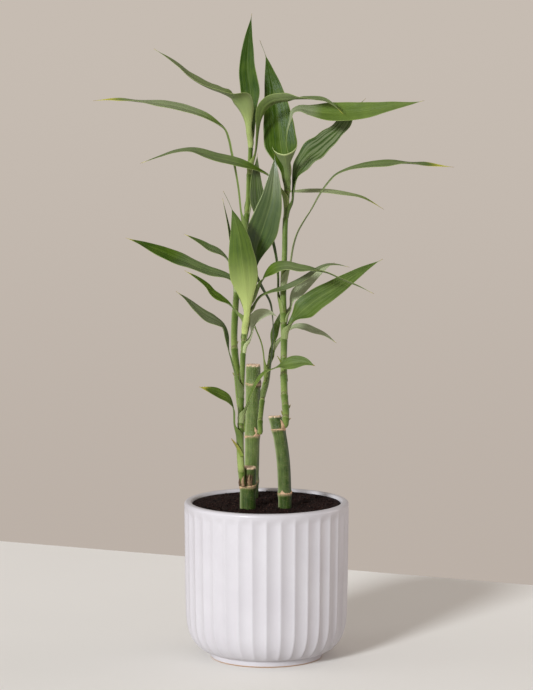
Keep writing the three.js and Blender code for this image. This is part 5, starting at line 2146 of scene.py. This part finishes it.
@dataclass(frozen=True)
class Studio:
    """Table edge, wall tones, lights and the camera that stands where the photo was taken."""

    camera_place: Point = (0, -2.282, 0.508)
    camera_pitch: float = 83.28
    camera_near: float = 0.05
    focal_pixels: float = 3042
    photo_height: float = 690
    sensor_height: float = 24
    edge_left: Pair = (-246, 484)
    edge_right: Pair = (228, 276)
    table_reach: float = 3000
    table_drop: float = 0.02
    wall_high: Colour = (0.565, 0.503, 0.445, 1)
    wall_low: Colour = (0.497, 0.434, 0.384, 1)
    wall_fade: Pair = (-0.2, 0.0)
    ambient: Colour = (1.0, 0.91, 0.83, 1)
    ambient_strength: float = 0.45
    panel_size: float = 1.6
    aim: Point = (0, 0, 0.2)

    def build(self, palette: Palette) -> None:
        """Builds the stage.

        Args:
            palette: The materials.
        """
        self.table(palette)
        self.world()
        self.sun("key", source=(-2.15, -3.8, 1.5), strength=3.7, softness=11, tint=(0.93, 0.97, 1.0))
        self.area("side", place=(-2.7, -0.4, 0.65), power=14, tint=(0.96, 0.97, 1.0))
        self.area("fill", place=(2.7, 0.6, 0.36), power=24, tint=(1.0, 0.92, 0.93))
        self.camera()

    def table(self, palette: Palette) -> None:
        """Lays the table top, which ends behind the pot along a slanted edge.

        Args:
            palette: The materials.
        """
        left, right = Vector(self.edge_left).to_3d(), Vector(self.edge_right).to_3d()
        edge = (right - left).normalized()
        back_left = left - edge * self.table_reach
        back_right = right + edge * self.table_reach
        toward = Vector((0, -2 * self.table_reach, 0))
        low = Vector((0, 0, -self.table_drop))
        draft = MeshDraft()
        corners = (back_left, back_right, back_right + toward, back_left + toward)
        draft.faces.append(tuple(reversed([draft.add(corner + low) for corner in corners])))
        draft.build("table_top", palette.table)

    def world(self) -> None:
        """Shows a plain wall to the camera and soft even light to everything else."""
        world = bpy.data.worlds.new("studio")
        world.use_nodes = True
        bpy.context.scene.world = world
        graph = Graph(world.node_tree)
        background = world.node_tree.nodes["Background"]
        output = world.node_tree.nodes["World Output"]
        background.inputs["Color"].default_value = self.ambient
        background.inputs["Strength"].default_value = self.ambient_strength
        height = graph.height_of(graph.node("ShaderNodeTexCoord").outputs["Generated"])
        share = graph.ramp(height, *self.wall_fade)
        wall = graph.node("ShaderNodeBackground")
        graph.join(graph.mix(share, self.wall_low, self.wall_high), wall.inputs["Color"])
        seen = graph.node("ShaderNodeMixShader")
        graph.join(graph.node("ShaderNodeLightPath").outputs["Is Camera Ray"], seen.inputs[0])
        graph.join(background.outputs[0], seen.inputs[1])
        graph.join(wall.outputs[0], seen.inputs[2])
        graph.join(seen.outputs[0], output.inputs["Surface"])

    def lamp(self, light: bpy.types.Light, source: Vector, tint: Point) -> bpy.types.Object:
        """Hangs a light so that it shines from one direction.

        Args:
            light: The light.
            source: The direction it comes from.
            tint: Its colour.

        Returns:
            The lamp.
        """
        light.color = tint
        lamp = bpy.data.objects.new(light.name, light)
        lamp.rotation_euler = source.to_track_quat("Z", "Y").to_euler()
        bpy.context.scene.collection.objects.link(lamp)
        return lamp

    def sun(self, name: str, source: Point, strength: float, softness: float, tint: Point) -> None:
        """Adds a broad even light.

        Args:
            name: Name of the light.
            source: The direction it comes from.
            strength: Its strength.
            softness: The angle it spans, in degrees.
            tint: Its colour.
        """
        light = bpy.data.lights.new(name, "SUN")
        light.energy = strength
        light.angle = math.radians(softness)
        self.lamp(light, Vector(source), tint)

    def area(self, name: str, place: Point, power: float, tint: Point) -> None:
        """Adds a soft square panel of light that looks at the plant.

        Args:
            name: Name of the light.
            place: Where it is, in metres.
            power: Its power in watts.
            tint: Its colour.
        """
        light = bpy.data.lights.new(name, "AREA")
        light.size = self.panel_size
        light.energy = power
        self.lamp(light, Vector(place) - Vector(self.aim), tint).location = place

    def camera(self) -> None:
        """Places the camera so that its picture has the photo's view."""
        lens = bpy.data.cameras.new("camera")
        lens.sensor_fit = "VERTICAL"
        lens.sensor_height = self.sensor_height
        lens.lens = self.sensor_height * self.focal_pixels / self.photo_height
        lens.clip_start = self.camera_near
        camera = bpy.data.objects.new("camera", lens)
        camera.location = self.camera_place
        camera.rotation_euler = (math.radians(self.camera_pitch), 0, 0)
        bpy.context.scene.collection.objects.link(camera)
        bpy.context.scene.camera = camera
        bpy.context.scene.view_settings.view_transform = "Standard"


SCALES = (
    BudScale(
        name="bract_left", root=(-19.4, -34.5, 158.9), bend=(-22.4, -35.5, 166.6),
        tip=(-26.3, -36.5, 173.2), facing=215, width=4.8, kind=ScaleKind.GREEN, dry=0.9, tone=0.6,
    ),
    BudScale(
        name="sliver_right", root=(10.8, -24, 227.6), bend=(9.6, -24.6, 230.7), tip=(8.1, -24.8, 233.8),
        facing=200, width=2.2, kind=ScaleKind.GREEN, tone=0.3,
    ),
    BudScale(
        name="torn_middle", root=(-6.9, 22.7, 167), bend=(-8, 21.1, 170.4), tip=(-9.1, 21.1, 173.4),
        facing=270, width=2.8,
    ),
    BudScale(
        name="torn_right", root=(12.3, -25.8, 177.8), bend=(12.4, -29.2, 181.2), tip=(10.5, -29.1, 186.6),
        facing=270, width=3, bark=0.12,
    ),
    BudScale(
        name="scale_left_1", root=(-19.7, -33.8, 136.8), bend=(-20.2, -34.2, 140),
        tip=(-19.9, -34.3, 143), facing=250, width=2.2, bark=0.9,
    ),
    BudScale(
        name="scale_left_2", root=(-17.6, -34.3, 136.6), bend=(-17.9, -34.8, 140.4),
        tip=(-17.1, -34.8, 144.6), facing=265, width=2.2, bark=0.45,
    ),
    BudScale(
        name="scale_left_3", root=(-15.2, -30.2, 135.8), bend=(-15.6, -30.8, 139.6),
        tip=(-14.9, -30.8, 143.6), facing=265, width=2.4, bark=0.95,
    ),
    BudScale(
        name="scale_left_4", root=(-13.1, -30.3, 136), bend=(-13.4, -30.9, 140.6),
        tip=(-12.5, -30.8, 145), facing=270, width=2.2, bark=0.55,
    ),
    BudScale(
        name="scale_left_5", root=(-11.3, -29.8, 136), bend=(-11.6, -30.3, 139.2),
        tip=(-10.9, -30.1, 142.4), facing=280, width=2, bark=0.85,
    ),
    BudScale(
        name="scale_right_1", root=(15.2, -24, 212.6), bend=(15.8, -24.2, 215.6), tip=(15.3, -24, 219),
        facing=-20, width=2.6, kind=ScaleKind.GREEN, dry=1, tone=0.1,
    ),
    BudScale(
        name="scale_right_2", root=(15.5, -25, 192.3), bend=(17.3, -25.4, 195), tip=(17.9, -25.4, 197.3),
        facing=-20, width=2.8, kind=ScaleKind.GREEN, dry=0.6, tone=0.3,
    ),
    BudScale(
        name="scale_right_3", root=(15.2, -26, 183.4), bend=(16.8, -26.5, 185.7),
        tip=(18.2, -26.6, 187.2), facing=-20, width=3, kind=ScaleKind.GREEN, dry=1, tone=0.1,
    ),
    BudScale(
        name="scale_right_4", root=(12.3, -27, 188.8), bend=(11.3, -27.4, 191.1), tip=(11.1, -27.4, 193),
        facing=200, width=2.8, kind=ScaleKind.GREEN, dry=0.6, tone=0.1,
    ),
    BudScale(
        name="scale_back_1", root=(-22.7, 24.5, 235.2), bend=(-22.1, 24.3, 237.4),
        tip=(-21.6, 24.2, 239.4), facing=-20, width=2, kind=ScaleKind.GREEN, dry=0.6, tone=0.1,
    ),
    BudScale(
        name="scale_back_2", root=(-24.4, 29.4, 211.2), bend=(-25.3, 29.2, 213), tip=(-25.9, 29.1, 214.6),
        facing=200, width=2, kind=ScaleKind.GREEN, dry=0.6, tone=0.1,
    ),
)


def main() -> None:
    """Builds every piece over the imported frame, then the studio."""
    logging.basicConfig(level=logging.INFO, format="%(name)s %(message)s")
    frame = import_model()
    LOG.info("frame of %d nodes", len(frame["nodes"]))
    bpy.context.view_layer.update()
    palette = Palette()
    Pot().build(palette)
    Soil().build(palette)
    for cane in CANES:
        cane.build(palette)
    for shoot in SHOOTS:
        shoot.build(palette)
    for scale in SCALES:
        scale.build(palette)
    Studio().build(palette)


if __name__ == "__main__":
    main()
